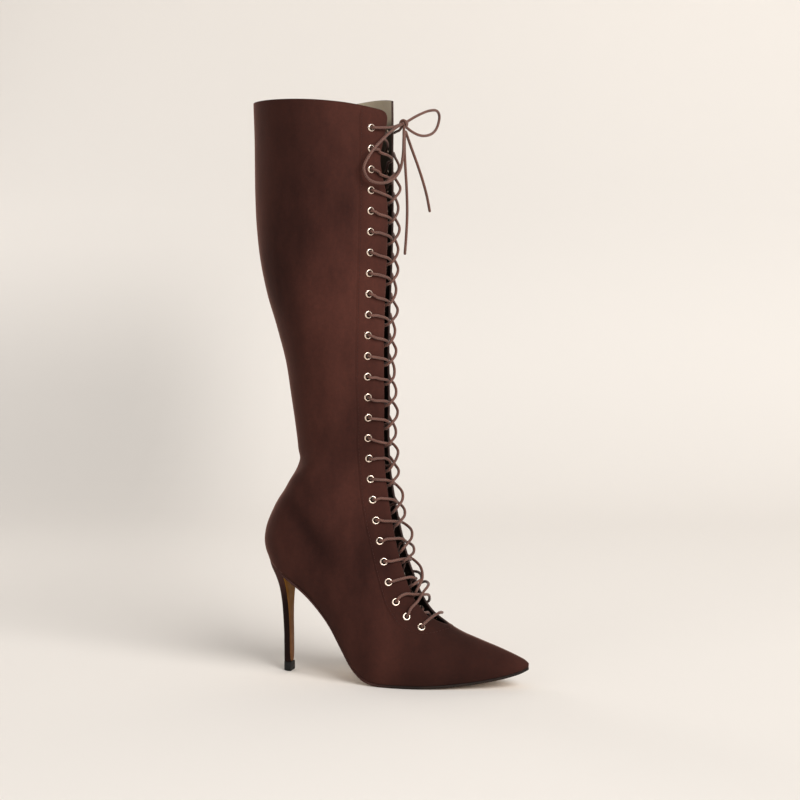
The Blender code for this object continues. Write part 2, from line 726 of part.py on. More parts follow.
def build_bow():
    centre = by_height(KNOT)[0]
    bm = bmesh.new()
    bmesh.ops.create_uvsphere(bm, u_segments=10, v_segments=6, radius=1.0)
    bmesh.ops.scale(bm, vec=(3.2 * MM, 4.4 * MM, 4.0 * MM), verts=bm.verts)
    bmesh.ops.translate(bm, vec=metres(centre), verts=bm.verts)
    bow = add("lace_bow", mesh_from(bm, "lace_bow"), "cord")
    for name, rows in (("lateral_loop", LATERAL_LOOP), ("medial_loop", MEDIAL_LOOP)):
        route = smooth_route(by_height(rows), 8.0)
        join_in(bow, tube_as_mesh(name, route, LACE_RADIUS, "cord"))
    tube("lace_ends", smooth_route(by_height(HANGING_ENDS), 9.0), LACE_RADIUS, "cord")


build_upper()
build_outsole()
build_insole()
build_heel()
build_heel_tip()
PLACES = eyelet_places()
build_eyelets(PLACES)
build_lace(PLACES)
build_bow()
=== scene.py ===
"""Looks of a lace-up knee-high boot for the right foot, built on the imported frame.

Tables are in millimetres from the centre of the heel tip (toe +X, medial +Y,
up +Z), as in the part's own source; metres() moves them into the row frame.
"""
import math

import bmesh
import bpy
import numpy as np
from mathutils import Matrix, Vector, noise


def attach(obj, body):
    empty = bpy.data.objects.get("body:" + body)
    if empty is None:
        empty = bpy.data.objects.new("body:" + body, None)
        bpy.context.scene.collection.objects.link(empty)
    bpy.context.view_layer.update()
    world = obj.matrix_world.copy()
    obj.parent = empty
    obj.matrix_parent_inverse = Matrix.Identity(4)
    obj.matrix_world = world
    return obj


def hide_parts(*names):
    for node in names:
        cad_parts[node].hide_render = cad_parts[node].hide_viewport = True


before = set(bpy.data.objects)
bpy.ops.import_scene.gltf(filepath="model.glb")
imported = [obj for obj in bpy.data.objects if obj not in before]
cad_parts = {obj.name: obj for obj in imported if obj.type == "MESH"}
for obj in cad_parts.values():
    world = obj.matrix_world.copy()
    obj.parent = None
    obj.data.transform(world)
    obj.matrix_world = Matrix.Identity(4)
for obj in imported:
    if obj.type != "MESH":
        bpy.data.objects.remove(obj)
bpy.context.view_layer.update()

MM = 0.001
LATERAL, MEDIAL = -1, 1

# ---------------------------------------------------------------- named sizes
ORIGIN_X = 90.70
FIT_GAP = 0.3
WALL = 1.8
SOLE_THICK = 2.2
SOLE_EDGE = 0.4
INSOLE_THICK = 1.8
INSOLE_INSET = 3.6
INSOLE_END = 6.5
TOE_RADIUS = 7.0
HEEL_RADIUS = 29.0
RIDGE_POWER = 1.75
THROAT_AT = 5.7
THROAT_ROUND = 1.3
COLLAR_RADIUS = {LATERAL: 15.0, MEDIAL: 4.0}
COLLAR_CUT_AT = 33.4
SLACK_EDGE = 10.0
SLACK_BELOW = 49.0
SLACK_REACH = 24.5
EYELETS = 26
EYELET_LOW_AT = 6.87
EYELET_TOP_AT = 33.37
LOW_PITCH = 0.87
LACE_RADIUS = 1.2
TIP_HIGH = 7.7
FLAP_THICK = 1.0
BREAST_END = 1.5
SEAM_BEHIND = 11.0       # from the eyelet line back to the facing's seam
FACING_STEP = 0.28       # the facing is a second layer on the front edges


def table(columns, *rows):
    data = np.array(rows, float)
    return {name: data[:, i] for i, name in enumerate(columns.split())}


SOLE_LINE = table(
    "x      z     lat   med  axis",
    (-17.5, 96.4, 21.5, 21.5, 0.0),
    (-4,   88.6, 24.0, 24.0, 0.0),
    (10,   80.0, 25.0, 25.0, 0.0),
    (22,   71.0, 24.5, 24.0, 0.0),
    (34,   58.8, 24.0, 22.0, 0.0),
    (46,   44.0, 25.0, 21.0, 0.0),
    (56,   28.0, 27.0, 22.5, 0.0),
    (66,   13.0, 29.5, 25.5, 0.0),
    (76,    4.2, 32.0, 29.0, 0.0),
    (88,    0.4, 33.5, 32.5, 0.0),
    (102,   0.0, 34.0, 35.0, 0.0),
    (120,   0.0, 32.5, 35.5, 0.2),
    (140,   0.8, 28.5, 32.5, 0.8),
    (160,   2.8, 23.0, 27.0, 1.5),
    (180,   5.8, 16.8, 19.5, 2.1),
    (196,   9.2, 11.0, 12.5, 2.6),
    (205,  12.0,  7.6,  8.5, 2.9),
    (211,  14.6,  5.6,  6.0, 3.0))

FOOT = table(
    "x_back x_front z_front lat   med  widest y_front gap  eyelet",
    (211,   211.3,  20.0,  6.0,  6.3, -.30,  3.0,   0.0, 20.0),
    (208,   208.3,  22.2,  7.4,  8.0, -.30,  3.0,   0.0, 20.0),
    (202,   202.0,  25.2, 10.2, 10.9, -.35,  3.0,   0.0, 20.0),
    (190,   188.5,  30.4, 15.3, 16.8, -.40,  3.0,   0.0, 20.0),
    (170,   168.0,  37.2, 22.2, 25.6, -.45,  3.0,   0.0, 20.0),
    (147,   150.0,  43.8, 29.5, 33.4, -.50,  3.0,   4.0, 20.0),
    (128,   138.5,  50.4, 34.0, 37.2, -.52,  3.0,   7.0, 21.0),
    (108,   126.0,  60.0, 36.8, 38.6, -.55,  3.0,  10.0, 24.5),
    (90,    116.5,  76.0, 37.0, 37.0, -.55,  2.5,  13.0, 31.0),
    (74,    110.0,  96.0, 35.8, 34.6, -.48,  2.0,  14.5, 35.5),
    (58,    105.0, 114.0, 34.0, 32.5, -.40,  1.5,  13.5, 33.0),
    (42,    101.0, 131.0, 32.8, 31.8, -.34,  1.0,  12.0, 29.5),
    (26,     97.5, 147.0, 32.2, 31.8, -.30,  0.7,  10.5, 27.5),
    (10,     95.0, 161.0, 32.2, 32.0, -.28,  0.4,   9.6, 26.0),
    (-3,     93.3, 172.0, 32.3, 32.3, -.28,  0.2,   9.0, 25.0),
    (-11.5,  92.4, 181.0, 32.5, 32.5, -.28,  0.0,   8.6, 24.5),
    (-17.5,  91.8, 189.0, 32.8, 32.8, -.28,  0.0,   8.4, 24.3))

LEG = table(
    "x_back z_back x_front z_front lat   med  widest gap eyelet",
    (-19.5, 104.0, 91.5, 192.5, 32.9, 32.9, -.27,  8.3, 24.2),
    (-20.8, 110.5, 91.3, 196.5, 33.0, 33.0, -.25,  8.3, 24.2),
    (-19.6, 122.5, 91.0, 203.0, 33.0, 33.0, -.22,  8.2, 24.3),
    (-12.4, 140.0, 90.6, 212.0, 32.8, 32.8, -.18,  8.1, 24.5),
    (-1.0,  160.0, 90.4, 222.0, 32.6, 32.6, -.12,  8.0, 24.8),
    (7.5,   173.5, 90.3, 231.0, 32.6, 32.6, -.08,  8.0, 25.2),
    (10.2,  182.0, 90.2, 237.0, 32.8, 32.8, -.05,  8.0, 25.5),
    (10.0,  191.0, 90.2, 243.0, 33.2, 33.2, -.03,  8.0, 25.8),
    (7.9,   210.0, 90.0, 256.0, 34.5, 34.5,  .00,  8.0, 26.0),
    (3.6,   240.0, 90.0, 277.0, 37.5, 37.5,  .00,  8.0, 26.3),
    (-1.2,  268.0, 90.2, 297.0, 41.0, 41.0,  .00,  8.0, 26.6),
    (-8.6,  296.0, 90.6, 319.0, 45.0, 45.0,  .00,  8.0, 27.0),
    (-17.5, 325.0, 91.2, 343.0, 48.5, 48.5,  .00,  8.0, 27.4),
    (-23.5, 353.0, 92.0, 366.0, 51.0, 51.0,  .00,  8.0, 27.8),
    (-27.0, 382.0, 92.6, 391.0, 52.5, 52.5,  .00,  7.8, 28.0),
    (-28.4, 410.0, 92.8, 416.0, 53.0, 53.0,  .00,  7.6, 27.8),
    (-28.8, 450.0, 92.8, 452.0, 53.0, 53.0,  .00,  7.6, 27.4),
    (-29.9, 489.4, 92.8, 487.4, 53.0, 53.0,  .00,  7.6, 27.2))

# How the collar's line rises or dips on each side, from its back to its front.
COLLAR_RISE = table(
    "along lateral medial",
    (0.00,  0.0, 0.0),
    (0.30, -0.2, 1.0),
    (0.50, -0.7, 4.0),
    (0.65, -1.5, 6.3),
    (0.80, -3.1, 7.0),
    (0.93, -5.8, 5.2),
    (1.00, -7.8, 2.8))

HEEL = table(
    "back_x back_z breast_x breast_z half",
    (-4.6,   8.0,  1.9,   8.0,  4.7),
    (-4.9,  31.0,  1.7,  31.0,  4.7),
    (-5.7,  47.0,  1.3,  46.5,  5.3),
    (-6.7,  60.0,  1.0,  58.0,  6.8),
    (-8.8,  73.0,  0.8,  67.5,  9.2),
    (-11.9, 83.0,  0.8,  75.5, 12.6),
    (-15.2, 91.5,  0.9,  82.3, 17.2),
    (-17.3, 97.4,  1.0,  88.0, 21.4))

KNOT = table("around height lift", (2.0, 470.5, 10.0))
LATERAL_LOOP = table(
    "around height lift",
    (1.0,   470.5, 10.0),
    (-9.0,  465.5,  9.0),
    (-22.0, 455.0,  8.2),
    (-33.0, 442.0,  7.6),
    (-38.0, 430.0,  7.2),
    (-34.0, 421.5,  7.2),
    (-24.0, 418.5,  7.6),
    (-13.0, 421.5,  8.6),
    (-5.5,  430.0, 10.5),
    (-2.5,  443.0, 11.5),
    (-0.5,  457.0, 11.0),
    (1.0,   468.5, 10.5))
MEDIAL_LOOP = table(
    "around height lift",
    (3.0,   470.5, 10.0),
    (9.0,   475.0, 15.0),
    (15.0,  480.5, 24.0),
    (20.0,  484.5, 34.0),
    (24.0,  485.0, 42.0),
    (27.0,  481.0, 46.0),
    (27.0,  474.5, 45.0),
    (24.0,  467.5, 40.0),
    (19.0,  463.0, 32.0),
    (13.0,  462.0, 23.0),
    (7.0,   465.5, 14.5),
    (3.0,   469.5, 10.0))
HANGING_ENDS = table(
    "around height lift",
    (4.0,   360.5, 11.5),
    (5.0,   375.0, 12.0),
    (5.0,   395.0, 12.5),
    (4.5,   415.0, 12.0),
    (4.0,   433.0, 11.0),
    (3.0,   449.0, 10.5),
    (2.0,   459.0, 10.8),
    (2.8,   464.3, 11.2),
    (4.6,   461.0, 12.2),
    (8.0,   451.0, 15.5),
    (12.0,  438.0, 20.5),
    (16.0,  424.0, 26.0),
    (19.5,  410.0, 31.0),
    (22.0,  398.0, 34.5))

# Foot of the facing's seam, where it turns in under the lowest eyelets.
SEAM_FOOT = table(
    "at    around",
    (9.0,  44.9),
    (8.2,  41.0),
    (7.5,  36.0),
    (6.87, 30.0),
    (6.3,  22.5),
    (5.8,  13.0),
    (5.45,  5.0),
    (5.30,  0.1))

# Soft folds of the upper, listed one by one: two ends of a fold in side view, its
# half width, how far it goes in (minus) or out, and the sides that have it.
FOLDS = table(
    "x0     z0     x1    z1    width depth lateral medial",
    (6.0,  156.0,  46.0, 101.0,  9.0, -2.30, 1, 1),     # below the ankle
    (12.0, 184.0,  33.0, 148.0,  6.0, -1.30, 1, 0),     # from the back of the ankle
    (24.0, 162.0,  46.0, 126.0,  8.0,  0.70, 1, 0),     # swell between the two
    (8.0,  187.0,  34.0, 182.0,  4.0, -0.95, 1, 1),     # break above the heel
    (40.0, 205.0,  74.0, 186.0, 10.0, -0.50, 1, 0),     # towards the instep
    (30.0, 214.0,  66.0, 236.0, 11.0, -0.45, 0, 1),
    (96.0,  50.0, 128.0,  22.0, 10.0, -0.35, 1, 1))     # flex of the ball


# ------------------------------------------------------------- interpolation
def smooth(x, y, q):
    """Cubic through the rows of a table, with slopes from both neighbours."""
    q = np.clip(np.asarray(q, float), x[0], x[-1])
    step = np.diff(x)
    rise = np.diff(y) / step
    slope = np.empty_like(y)
    slope[1:-1] = (rise[:-1] * step[1:] + rise[1:] * step[:-1]) / (step[1:] + step[:-1])
    slope[0], slope[-1] = rise[0], rise[-1]
    i = np.clip(np.searchsorted(x, q, side="right") - 1, 0, len(x) - 2)
    h = x[i + 1] - x[i]
    t = (q - x[i]) / h
    return ((1 + 2 * t) * (1 - t) ** 2 * y[i] + t * (1 - t) ** 2 * h * slope[i]
            + t * t * (3 - 2 * t) * y[i + 1] + t * t * (t - 1) * h * slope[i + 1])


HEEL_X, TOE_X = SOLE_LINE["x"][0], SOLE_LINE["x"][-1]


def quarter_round(distance, radius):
    d = np.clip(distance / radius, 0, 1)
    return np.sqrt(np.clip(1 - (1 - d) ** 2, 0, 1))


def toe_round(x):
    return quarter_round(TOE_X - x, TOE_RADIUS)


def sole(column, x):
    value = smooth(SOLE_LINE["x"], SOLE_LINE[column], x)
    return np.maximum(value, 0.0) if column == "z" else value


def steepness(x):
    rise = (sole("z", x + 0.5) - sole("z", x - 0.5)) / (np.clip(x + 0.5, HEEL_X, TOE_X)
                                                        - np.clip(x - 0.5, HEEL_X, TOE_X))
    return np.sqrt(1 + rise ** 2)


def sole_top(x):
    return sole("z", x) + SOLE_THICK


def feather_z(x):
    return sole_top(x) + FIT_GAP * steepness(x)


def feather_half(x, side):
    width = sole("lat" if side == LATERAL else "med", x)
    return width * toe_round(x) * quarter_round(x - HEEL_X, HEEL_RADIUS)


def ease(t):
    t = np.clip(t, 0.0, 1.0)
    return t * t * (3 - 2 * t)


# ------------------------------------------------------------------ sections
def all_sections():
    foot = dict(FOOT)
    foot["z_back"] = feather_z(FOOT["x_back"])
    leg = dict(LEG)
    leg["y_front"] = np.zeros_like(LEG["gap"])
    both = {name: np.concatenate([foot[name], leg[name]]) for name in foot}
    run = (np.hypot(np.diff(both["x_back"]), np.diff(both["z_back"]))
           + np.hypot(np.diff(both["x_front"]), np.diff(both["z_front"])))
    return both, np.concatenate([[0.0], np.cumsum(run)])


SECTIONS, RUN = all_sections()
HEEL_AT = len(FOOT["x_back"]) - 1
COLLAR_AT = len(RUN) - 1


def section(at):
    run = np.interp(at, np.arange(len(RUN)), RUN)
    cut = {name: float(smooth(RUN, column, run)) for name, column in SECTIONS.items()}
    if at > HEEL_AT:
        for name in ("x_back", "z_back"):
            cut[name] = float(smooth(RUN[HEEL_AT:], SECTIONS[name][HEEL_AT:], run))
    return cut


def half_contour(at, side, fine=80):
    cut = section(at)
    half = cut["lat"] if side == LATERAL else cut["med"]
    x_back, z_back, y_back, foot_half = cut["x_back"], cut["z_back"], 0.0, 0.0
    if at <= HEEL_AT:
        x_back = min(max(x_back, HEEL_X), TOE_X)
        z_back = float(feather_z(x_back))
        y_back = float(sole("axis", x_back))
        foot_half = float(feather_half(x_back, side))
        half = max(half * float(toe_round(x_back)), foot_half)
    begun = min(foot_half / half, 0.97) if half > 0.01 else 0.9
    turn = np.linspace(math.asin(begun), math.pi / 2, fine)
    over = np.linspace(0, math.pi / 2, fine)[1:]
    power = 2 / RIDGE_POWER
    low = cut["widest"] - (1 + cut["widest"]) * np.cos(turn) / math.cos(turn[0])
    high = cut["widest"] + (1 - cut["widest"]) * np.sin(over) ** power
    along = (np.concatenate([low, high]) + 1) / 2
    out = np.concatenate([foot_half + (half - foot_half) * (np.sin(turn) - begun) / (1 - begun),
                          half * np.cos(over) ** power])
    points = np.stack([x_back + (cut["x_front"] - x_back) * along,
                       y_back + (cut["y_front"] - y_back) * along + side * out,
                       z_back + (cut["z_front"] - z_back) * along], axis=1)
    if at > COLLAR_CUT_AT:               # the collar dips on one side in front, rises on the other
        share = ((at - COLLAR_CUT_AT) / (COLLAR_AT - COLLAR_CUT_AT)) ** 2
        ridge = np.clip(np.linalg.norm(points - points[-1], axis=1) / 6.0, 0, 1)
        rise = COLLAR_RISE["lateral" if side == LATERAL else "medial"]
        points[:, 2] += smooth(COLLAR_RISE["along"], rise, along) * share * ridge
    length = np.concatenate([[0.0], np.cumsum(np.linalg.norm(np.diff(points, axis=0), axis=1))])
    return points, length


def opening(at, side):
    if at <= THROAT_AT:
        return 0.0
    gap = section(at)["gap"] * float(quarter_round(at - THROAT_AT, THROAT_ROUND))
    below = SECTIONS["z_front"][-1] - section(at)["z_front"]
    if side == LATERAL:
        gap += SLACK_EDGE * math.exp(-((below - SLACK_BELOW) / SLACK_REACH) ** 2)
    radius = COLLAR_RADIUS[side]
    if below < radius:
        gap += radius - math.sqrt(radius ** 2 - (radius - below) ** 2)
    return gap


def wall_point(at, around):
    side = LATERAL if around < 0 else MEDIAL
    points, length = half_contour(at, side)
    stop = length[-1] - abs(around)
    return np.array([np.interp(stop, length, points[:, k]) for k in range(3)])


def wall_frame(at, around):
    here = wall_point(at, around)
    up = wall_point(min(at + 0.05, COLLAR_AT), around) - wall_point(at - 0.05, around)
    across = wall_point(at, around + 1.5) - wall_point(at, around - 1.5)
    normal = np.cross(across, up)
    return here, normal / np.linalg.norm(normal), up / np.linalg.norm(up)


def section_at_height(height, around):
    low, high = THROAT_AT, COLLAR_AT
    for _ in range(40):
        middle = (low + high) / 2
        if wall_point(middle, around)[2] < height:
            low = middle
        else:
            high = middle
    return (low + high) / 2


def off_wall(at, around, lift):
    here, normal, _ = wall_frame(at, around)
    return here + normal * lift


def by_height(rows):
    return [off_wall(section_at_height(h, a), a, lift)
            for a, h, lift in zip(rows["around"], rows["height"], rows["lift"])]


def eyelet_places():
    fine = np.linspace(EYELET_TOP_AT, EYELET_LOW_AT, 160)
    line = np.array([wall_point(at, -section(at)["eyelet"]) for at in fine])
    run = np.concatenate([[0.0], np.cumsum(np.linalg.norm(np.diff(line, axis=0), axis=1))])
    pitch = np.ones(EYELETS - 1)
    pitch[-2:] = LOW_PITCH
    stops = np.concatenate([[0.0], np.cumsum(pitch)])
    return np.interp(run[-1] * stops / stops[-1], run, fine)


PLACES = eyelet_places()
REACH = [section(at)["eyelet"] for at in PLACES]


def metres(p):
    return Vector(((p[0] - ORIGIN_X) * MM, p[1] * MM, p[2] * MM))


# ----------------------------------------------------------------- materials
def new_material(name):
    made = bpy.data.materials.new(name)
    made.use_nodes = True
    tree = made.node_tree
    return made, tree, tree.nodes["Principled BSDF"]


def node(tree, kind, **values):
    made = tree.nodes.new(kind)
    for key, value in values.items():
        if key in made.inputs:
            made.inputs[key].default_value = value
        else:
            setattr(made, key, value)
    return made


def place(tree, stretch=(1, 1, 1), kind="Object"):
    """Coordinates of the row frame, stretched."""
    coords = tree.nodes.new("ShaderNodeTexCoord")
    mapping = tree.nodes.new("ShaderNodeMapping")
    mapping.inputs["Scale"].default_value = stretch
    tree.links.new(coords.outputs[kind], mapping.inputs["Vector"])
    return mapping.outputs["Vector"]


def cloud(tree, where, scale, detail=3.0, rough=0.55):
    made = node(tree, "ShaderNodeTexNoise", Scale=scale, Detail=detail, Roughness=rough)
    tree.links.new(where, made.inputs["Vector"])
    return made.outputs["Fac"]


def ramp(tree, factor, *stops, bend="LINEAR"):
    made = tree.nodes.new("ShaderNodeValToRGB")
    band = made.color_ramp
    band.interpolation = bend
    while len(band.elements) < len(stops):
        band.elements.new(0.5)
    for element, (at, colour) in zip(band.elements, stops):
        element.position = at
        element.color = (*colour, 1.0)
    tree.links.new(factor, made.inputs["Fac"])
    return made.outputs["Color"]


def mixed(tree, factor, a, b, kind="MIX"):
    made = tree.nodes.new("ShaderNodeMix")
    made.data_type = "RGBA"
    made.blend_type = kind
    for value, socket in ((factor, made.inputs["Factor"]), (a, made.inputs["A"]), (b, made.inputs["B"])):
        if isinstance(value, bpy.types.NodeSocket):
            tree.links.new(value, socket)
        elif isinstance(value, (int, float)):
            socket.default_value = value
        else:
            socket.default_value = (*value, 1.0)
    return made.outputs["Result"]


def sums(tree, operation, *terms):
    made = tree.nodes.new("ShaderNodeMath")
    made.operation = operation
    for value, socket in zip(terms, made.inputs):
        if isinstance(value, bpy.types.NodeSocket):
            tree.links.new(value, socket)
        else:
            socket.default_value = value
    return made.outputs[0]


def bump(tree, shader, height, strength, distance_mm):
    made = node(tree, "ShaderNodeBump", Strength=strength, Distance=distance_mm * MM)
    tree.links.new(height, made.inputs["Height"])
    tree.links.new(made.outputs["Normal"], shader.inputs["Normal"])


def suede(name, dark, light, sheen, facing=False, by_height=()):
    """Napped suede: brushed patches, fine fibres and a soft rim of light from the sheen; facing adds painted light and
    shade over the upper and painted shade in its fold troughs, and by_height paints shade by height.
    """
    made, tree, shader = new_material(name)
    brushed = cloud(tree, place(tree, (1.0, 1.0, 0.45)), 26.0, 4.0, 0.6)
    patches = cloud(tree, place(tree, (1.0, 1.0, 0.7)), 10.0, 2.0, 0.5)
    fibres = cloud(tree, place(tree, (1.0, 1.0, 0.55)), 900.0, 3.0, 0.65)
    specks = cloud(tree, place(tree), 320.0, 2.0, 0.6)
    blend = sums(tree, "ADD", sums(tree, "MULTIPLY", brushed, 0.45),
                 sums(tree, "MULTIPLY", patches, 0.55))
    colour = ramp(tree, blend, (0.37, dark), (0.63, light))
    grain = ramp(tree, specks, (0.25, (0.88, 0.88, 0.88)), (0.75, (1.10, 1.10, 1.10)))
    colour = mixed(tree, 1.0, colour, grain, "MULTIPLY")
    if facing:
        # painted light and shade by height: darker low on the foot and at the collar, lighter on the calf
        split = tree.nodes.new("ShaderNodeSeparateXYZ")
        tree.links.new(place(tree), split.inputs[0])
        share = sums(tree, "DIVIDE", split.outputs[2], 0.49)
        painted_height_light = ramp(tree, share, *((z / 490.0, (v, v, v)) for z, v in LIGHT_AND_SHADE_BY_HEIGHT), bend="CARDINAL")
        colour = mixed(tree, 1.0, colour, painted_height_light, "MULTIPLY")
        # and painted light and shade from back to front: a painted light rim on the shaft's back edge, painted shade on
        # its side turned from the key, lighter towards the front; on the foot lighter behind, darker over the vamp
        across = sums(tree, "DIVIDE", sums(tree, "ADD", split.outputs[0], 0.121), 0.242)
        foot, shaft = (ramp(tree, across, *(((x - ORIGIN_X + 121.0) / 242.0, (v, v, v)) for x, v in tones),
                            bend="CARDINAL") for tones in (LIGHT_AND_SHADE_FOOT, LIGHT_AND_SHADE_SHAFT))
        rise = node(tree, "ShaderNodeMapRange", interpolation_type="SMOOTHSTEP")
        rise.inputs["From Min"].default_value = 0.080
        rise.inputs["From Max"].default_value = 0.190
        tree.links.new(split.outputs[2], rise.inputs["Value"])
        colour = mixed(tree, 1.0, colour, mixed(tree, rise.outputs[0], foot, shaft), "MULTIPLY")
        # the facing strip a touch darker, and painted shade in the fold troughs
        for name, tone in (("facing", (0.95, 0.94, 0.94)), ("painted_trough_shade", (0.56, 0.53, 0.53))):
            mark = node(tree, "ShaderNodeAttribute", attribute_name=name)
            colour = mixed(tree, mark.outputs["Fac"], colour, mixed(tree, 1.0, colour, tone, "MULTIPLY"))
    if by_height:                        # painted shade by height, in millimetres
        split = tree.nodes.new("ShaderNodeSeparateXYZ")
        tree.links.new(place(tree), split.inputs[0])
        steps = ramp(tree, sums(tree, "DIVIDE", split.outputs[2], 0.1), *((z / 100.0, (v, v, v)) for z, v in by_height),
                     bend="EASE")
        colour = mixed(tree, 1.0, colour, steps, "MULTIPLY")
    tree.links.new(colour, shader.inputs["Base Color"])
    rough = ramp(tree, specks, (0.2, (0.86,) * 3), (0.8, (1.0,) * 3))
    tree.links.new(rough, shader.inputs["Roughness"])
    shader.inputs["Specular IOR Level"].default_value = 0.12
    shader.inputs["Sheen Weight"].default_value = sheen
    shader.inputs["Sheen Roughness"].default_value = 0.32
    shader.inputs["Sheen Tint"].default_value = (0.80, 0.42, 0.34, 1.0)
    height = sums(tree, "ADD", sums(tree, "MULTIPLY", fibres, 0.5),
                  sums(tree, "MULTIPLY", specks, 0.9))
    bump(tree, shader, height, 0.35, 0.30)
    return made


def lining_cloth():
    made, tree, shader = new_material("lining_cloth")
    threads = place(tree, (1, 1, 1))
    warp = node(tree, "ShaderNodeTexWave", Scale=420.0, Distortion=0.6, bands_direction="Z")
    weft = node(tree, "ShaderNodeTexWave", Scale=420.0, Distortion=0.6, bands_direction="DIAGONAL")
    for thread in (warp, weft):
        tree.links.new(threads, thread.inputs["Vector"])
    weave = sums(tree, "MULTIPLY", warp.outputs["Fac"], weft.outputs["Fac"])
    tone = ramp(tree, cloud(tree, place(tree), 24.0, 3.0), (0.3, (0.52, 0.43, 0.31)),
                (0.7, (0.64, 0.54, 0.40)))
    # beige at the collar, darker further in: painted shade of the boot's inside
    split = tree.nodes.new("ShaderNodeSeparateXYZ")
    tree.links.new(threads, split.inputs[0])
    deep = ramp(tree, sums(tree, "DIVIDE", split.outputs[2], 0.49), (0.953, (0.10, 0.09, 0.085)),
                (0.974, (1.0, 1.0, 1.0)), bend="EASE")
    tree.links.new(mixed(tree, 1.0, tone, deep, "MULTIPLY"), shader.inputs["Base Color"])
    rough = ramp(tree, weave, (0.0, (0.72,) * 3), (1.0, (0.92,) * 3))
    tree.links.new(rough, shader.inputs["Roughness"])
    shader.inputs["Specular IOR Level"].default_value = 0.2
    bump(tree, shader, weave, 0.2, 0.15)
    return made


def cut_edge():
    """Folded edge of the suede along collar and throat."""
    made, tree, shader = new_material("folded_edge")
    tone = ramp(tree, cloud(tree, place(tree), 140.0, 3.0), (0.3, (0.026, 0.011, 0.009)),
                (0.7, (0.058, 0.026, 0.020)))
    tree.links.new(tone, shader.inputs["Base Color"])
    rough = ramp(tree, cloud(tree, place(tree), 300.0), (0.3, (0.7,) * 3), (0.7, (0.95,) * 3))
    tree.links.new(rough, shader.inputs["Roughness"])
    bump(tree, shader, cloud(tree, place(tree), 700.0), 0.2, 0.2)
    return made


def braided_cord(name, dark, light, gloss=0.4, sheen=0.15):
    """Round waxed cord: two sets of strands crossing round it, from the tube's own UV."""
    made, tree, shader = new_material(name)
    uv = tree.nodes.new("ShaderNodeTexCoord").outputs["UV"]
    split = tree.nodes.new("ShaderNodeSeparateXYZ")
    tree.links.new(uv, split.inputs[0])
    round_by, along = split.outputs[0], split.outputs[1]

    def strands(lean):
        turn = sums(tree, "ADD", sums(tree, "MULTIPLY", round_by, 4 * 2 * math.pi),
                    sums(tree, "MULTIPLY", along, lean * 2.6))
        return sums(tree, "SINE", turn)

    over = sums(tree, "MAXIMUM", strands(1.0), strands(-1.0))
    over = sums(tree, "ADD", sums(tree, "MULTIPLY", over, 0.5), 0.5)
    tone = ramp(tree, over, (0.35, dark), (0.95, light))
    wear = ramp(tree, cloud(tree, place(tree), 70.0, 3.0), (0.3, (0.82, 0.82, 0.82)),
                (0.72, (1.2, 1.18, 1.16)))
    tree.links.new(mixed(tree, 1.0, tone, wear, "MULTIPLY"), shader.inputs["Base Color"])
    rough = ramp(tree, cloud(tree, place(tree), 160.0), (0.3, (0.46,) * 3), (0.7, (0.66,) * 3))
    tree.links.new(rough, shader.inputs["Roughness"])
    shader.inputs["Specular IOR Level"].default_value = gloss
    shader.inputs["Sheen Weight"].default_value = sheen
    bump(tree, shader, over, 0.45, 0.22)
    return made


def eyelet_metal():
    made, tree, shader = new_material("eyelet_metal")
    tone = ramp(tree, cloud(tree, place(tree), 60.0, 2.0), (0.3, (0.80, 0.64, 0.53)),
                (0.7, (0.90, 0.76, 0.64)))
    tree.links.new(tone, shader.inputs["Base Color"])
    shader.inputs["Metallic"].default_value = 1.0
    rough = ramp(tree, cloud(tree, place(tree), 800.0, 4.0), (0.3, (0.14,) * 3), (0.75, (0.30,) * 3))
    tree.links.new(rough, shader.inputs["Roughness"])
    return made


def sole_leather(name, low, high, z_low, z_high, roughness, gloss=0.35):
    """Smooth tan sole material whose tone changes with height, with faint scuffs."""
    made, tree, shader = new_material(name)
    split = tree.nodes.new("ShaderNodeSeparateXYZ")
    tree.links.new(place(tree), split.inputs[0])
    reach = node(tree, "ShaderNodeMapRange")
    reach.inputs["From Min"].default_value = z_low * MM
    reach.inputs["From Max"].default_value = z_high * MM
    tree.links.new(split.outputs[2], reach.inputs["Value"])
    tone = ramp(tree, reach.outputs[0], (0.0, low), (1.0, high))
    scuffs = ramp(tree, cloud(tree, place(tree, (0.5, 1.6, 1.0)), 120.0, 5.0, 0.7),
                  (0.32, (0.84, 0.83, 0.82)), (0.6, (1.06, 1.06, 1.06)))
    tree.links.new(mixed(tree, 1.0, tone, scuffs, "MULTIPLY"), shader.inputs["Base Color"])
    rough = ramp(tree, cloud(tree, place(tree), 90.0, 4.0), (0.3, (roughness - 0.1,) * 3),
                 (0.7, (roughness + 0.1,) * 3))
    tree.links.new(rough, shader.inputs["Roughness"])
    shader.inputs["Specular IOR Level"].default_value = gloss
    bump(tree, shader, cloud(tree, place(tree), 520.0, 3.0), 0.12, 0.1)
    return made


def dark_solid(name, dark, light, low, high, scale, arch=None):
    made, tree, shader = new_material(name)
    shader.inputs["Specular IOR Level"].default_value = 0.2
    tone = ramp(tree, cloud(tree, place(tree), scale, 4.0), (0.3, dark), (0.7, light))
    if arch:                             # another colour behind the ball of the foot
        split = tree.nodes.new("ShaderNodeSeparateXYZ")
        tree.links.new(place(tree), split.inputs[0])
        across = sums(tree, "DIVIDE", sums(tree, "ADD", split.outputs[0], 0.121), 0.242)
        behind = ramp(tree, across, *(((x - ORIGIN_X + 121.0) / 242.0, (v, v, v)) for x, v in ((84.0, 1.0), (106.0, 0.0))))
        tone = mixed(tree, behind, tone, arch)
    tree.links.new(tone, shader.inputs["Base Color"])
    rough = ramp(tree, cloud(tree, place(tree), scale * 2.0, 4.0), (0.3, (low,) * 3), (0.7, (high,) * 3))
    tree.links.new(rough, shader.inputs["Roughness"])
    bump(tree, shader, cloud(tree, place(tree), scale * 4.0, 3.0), 0.15, 0.1)
    return made
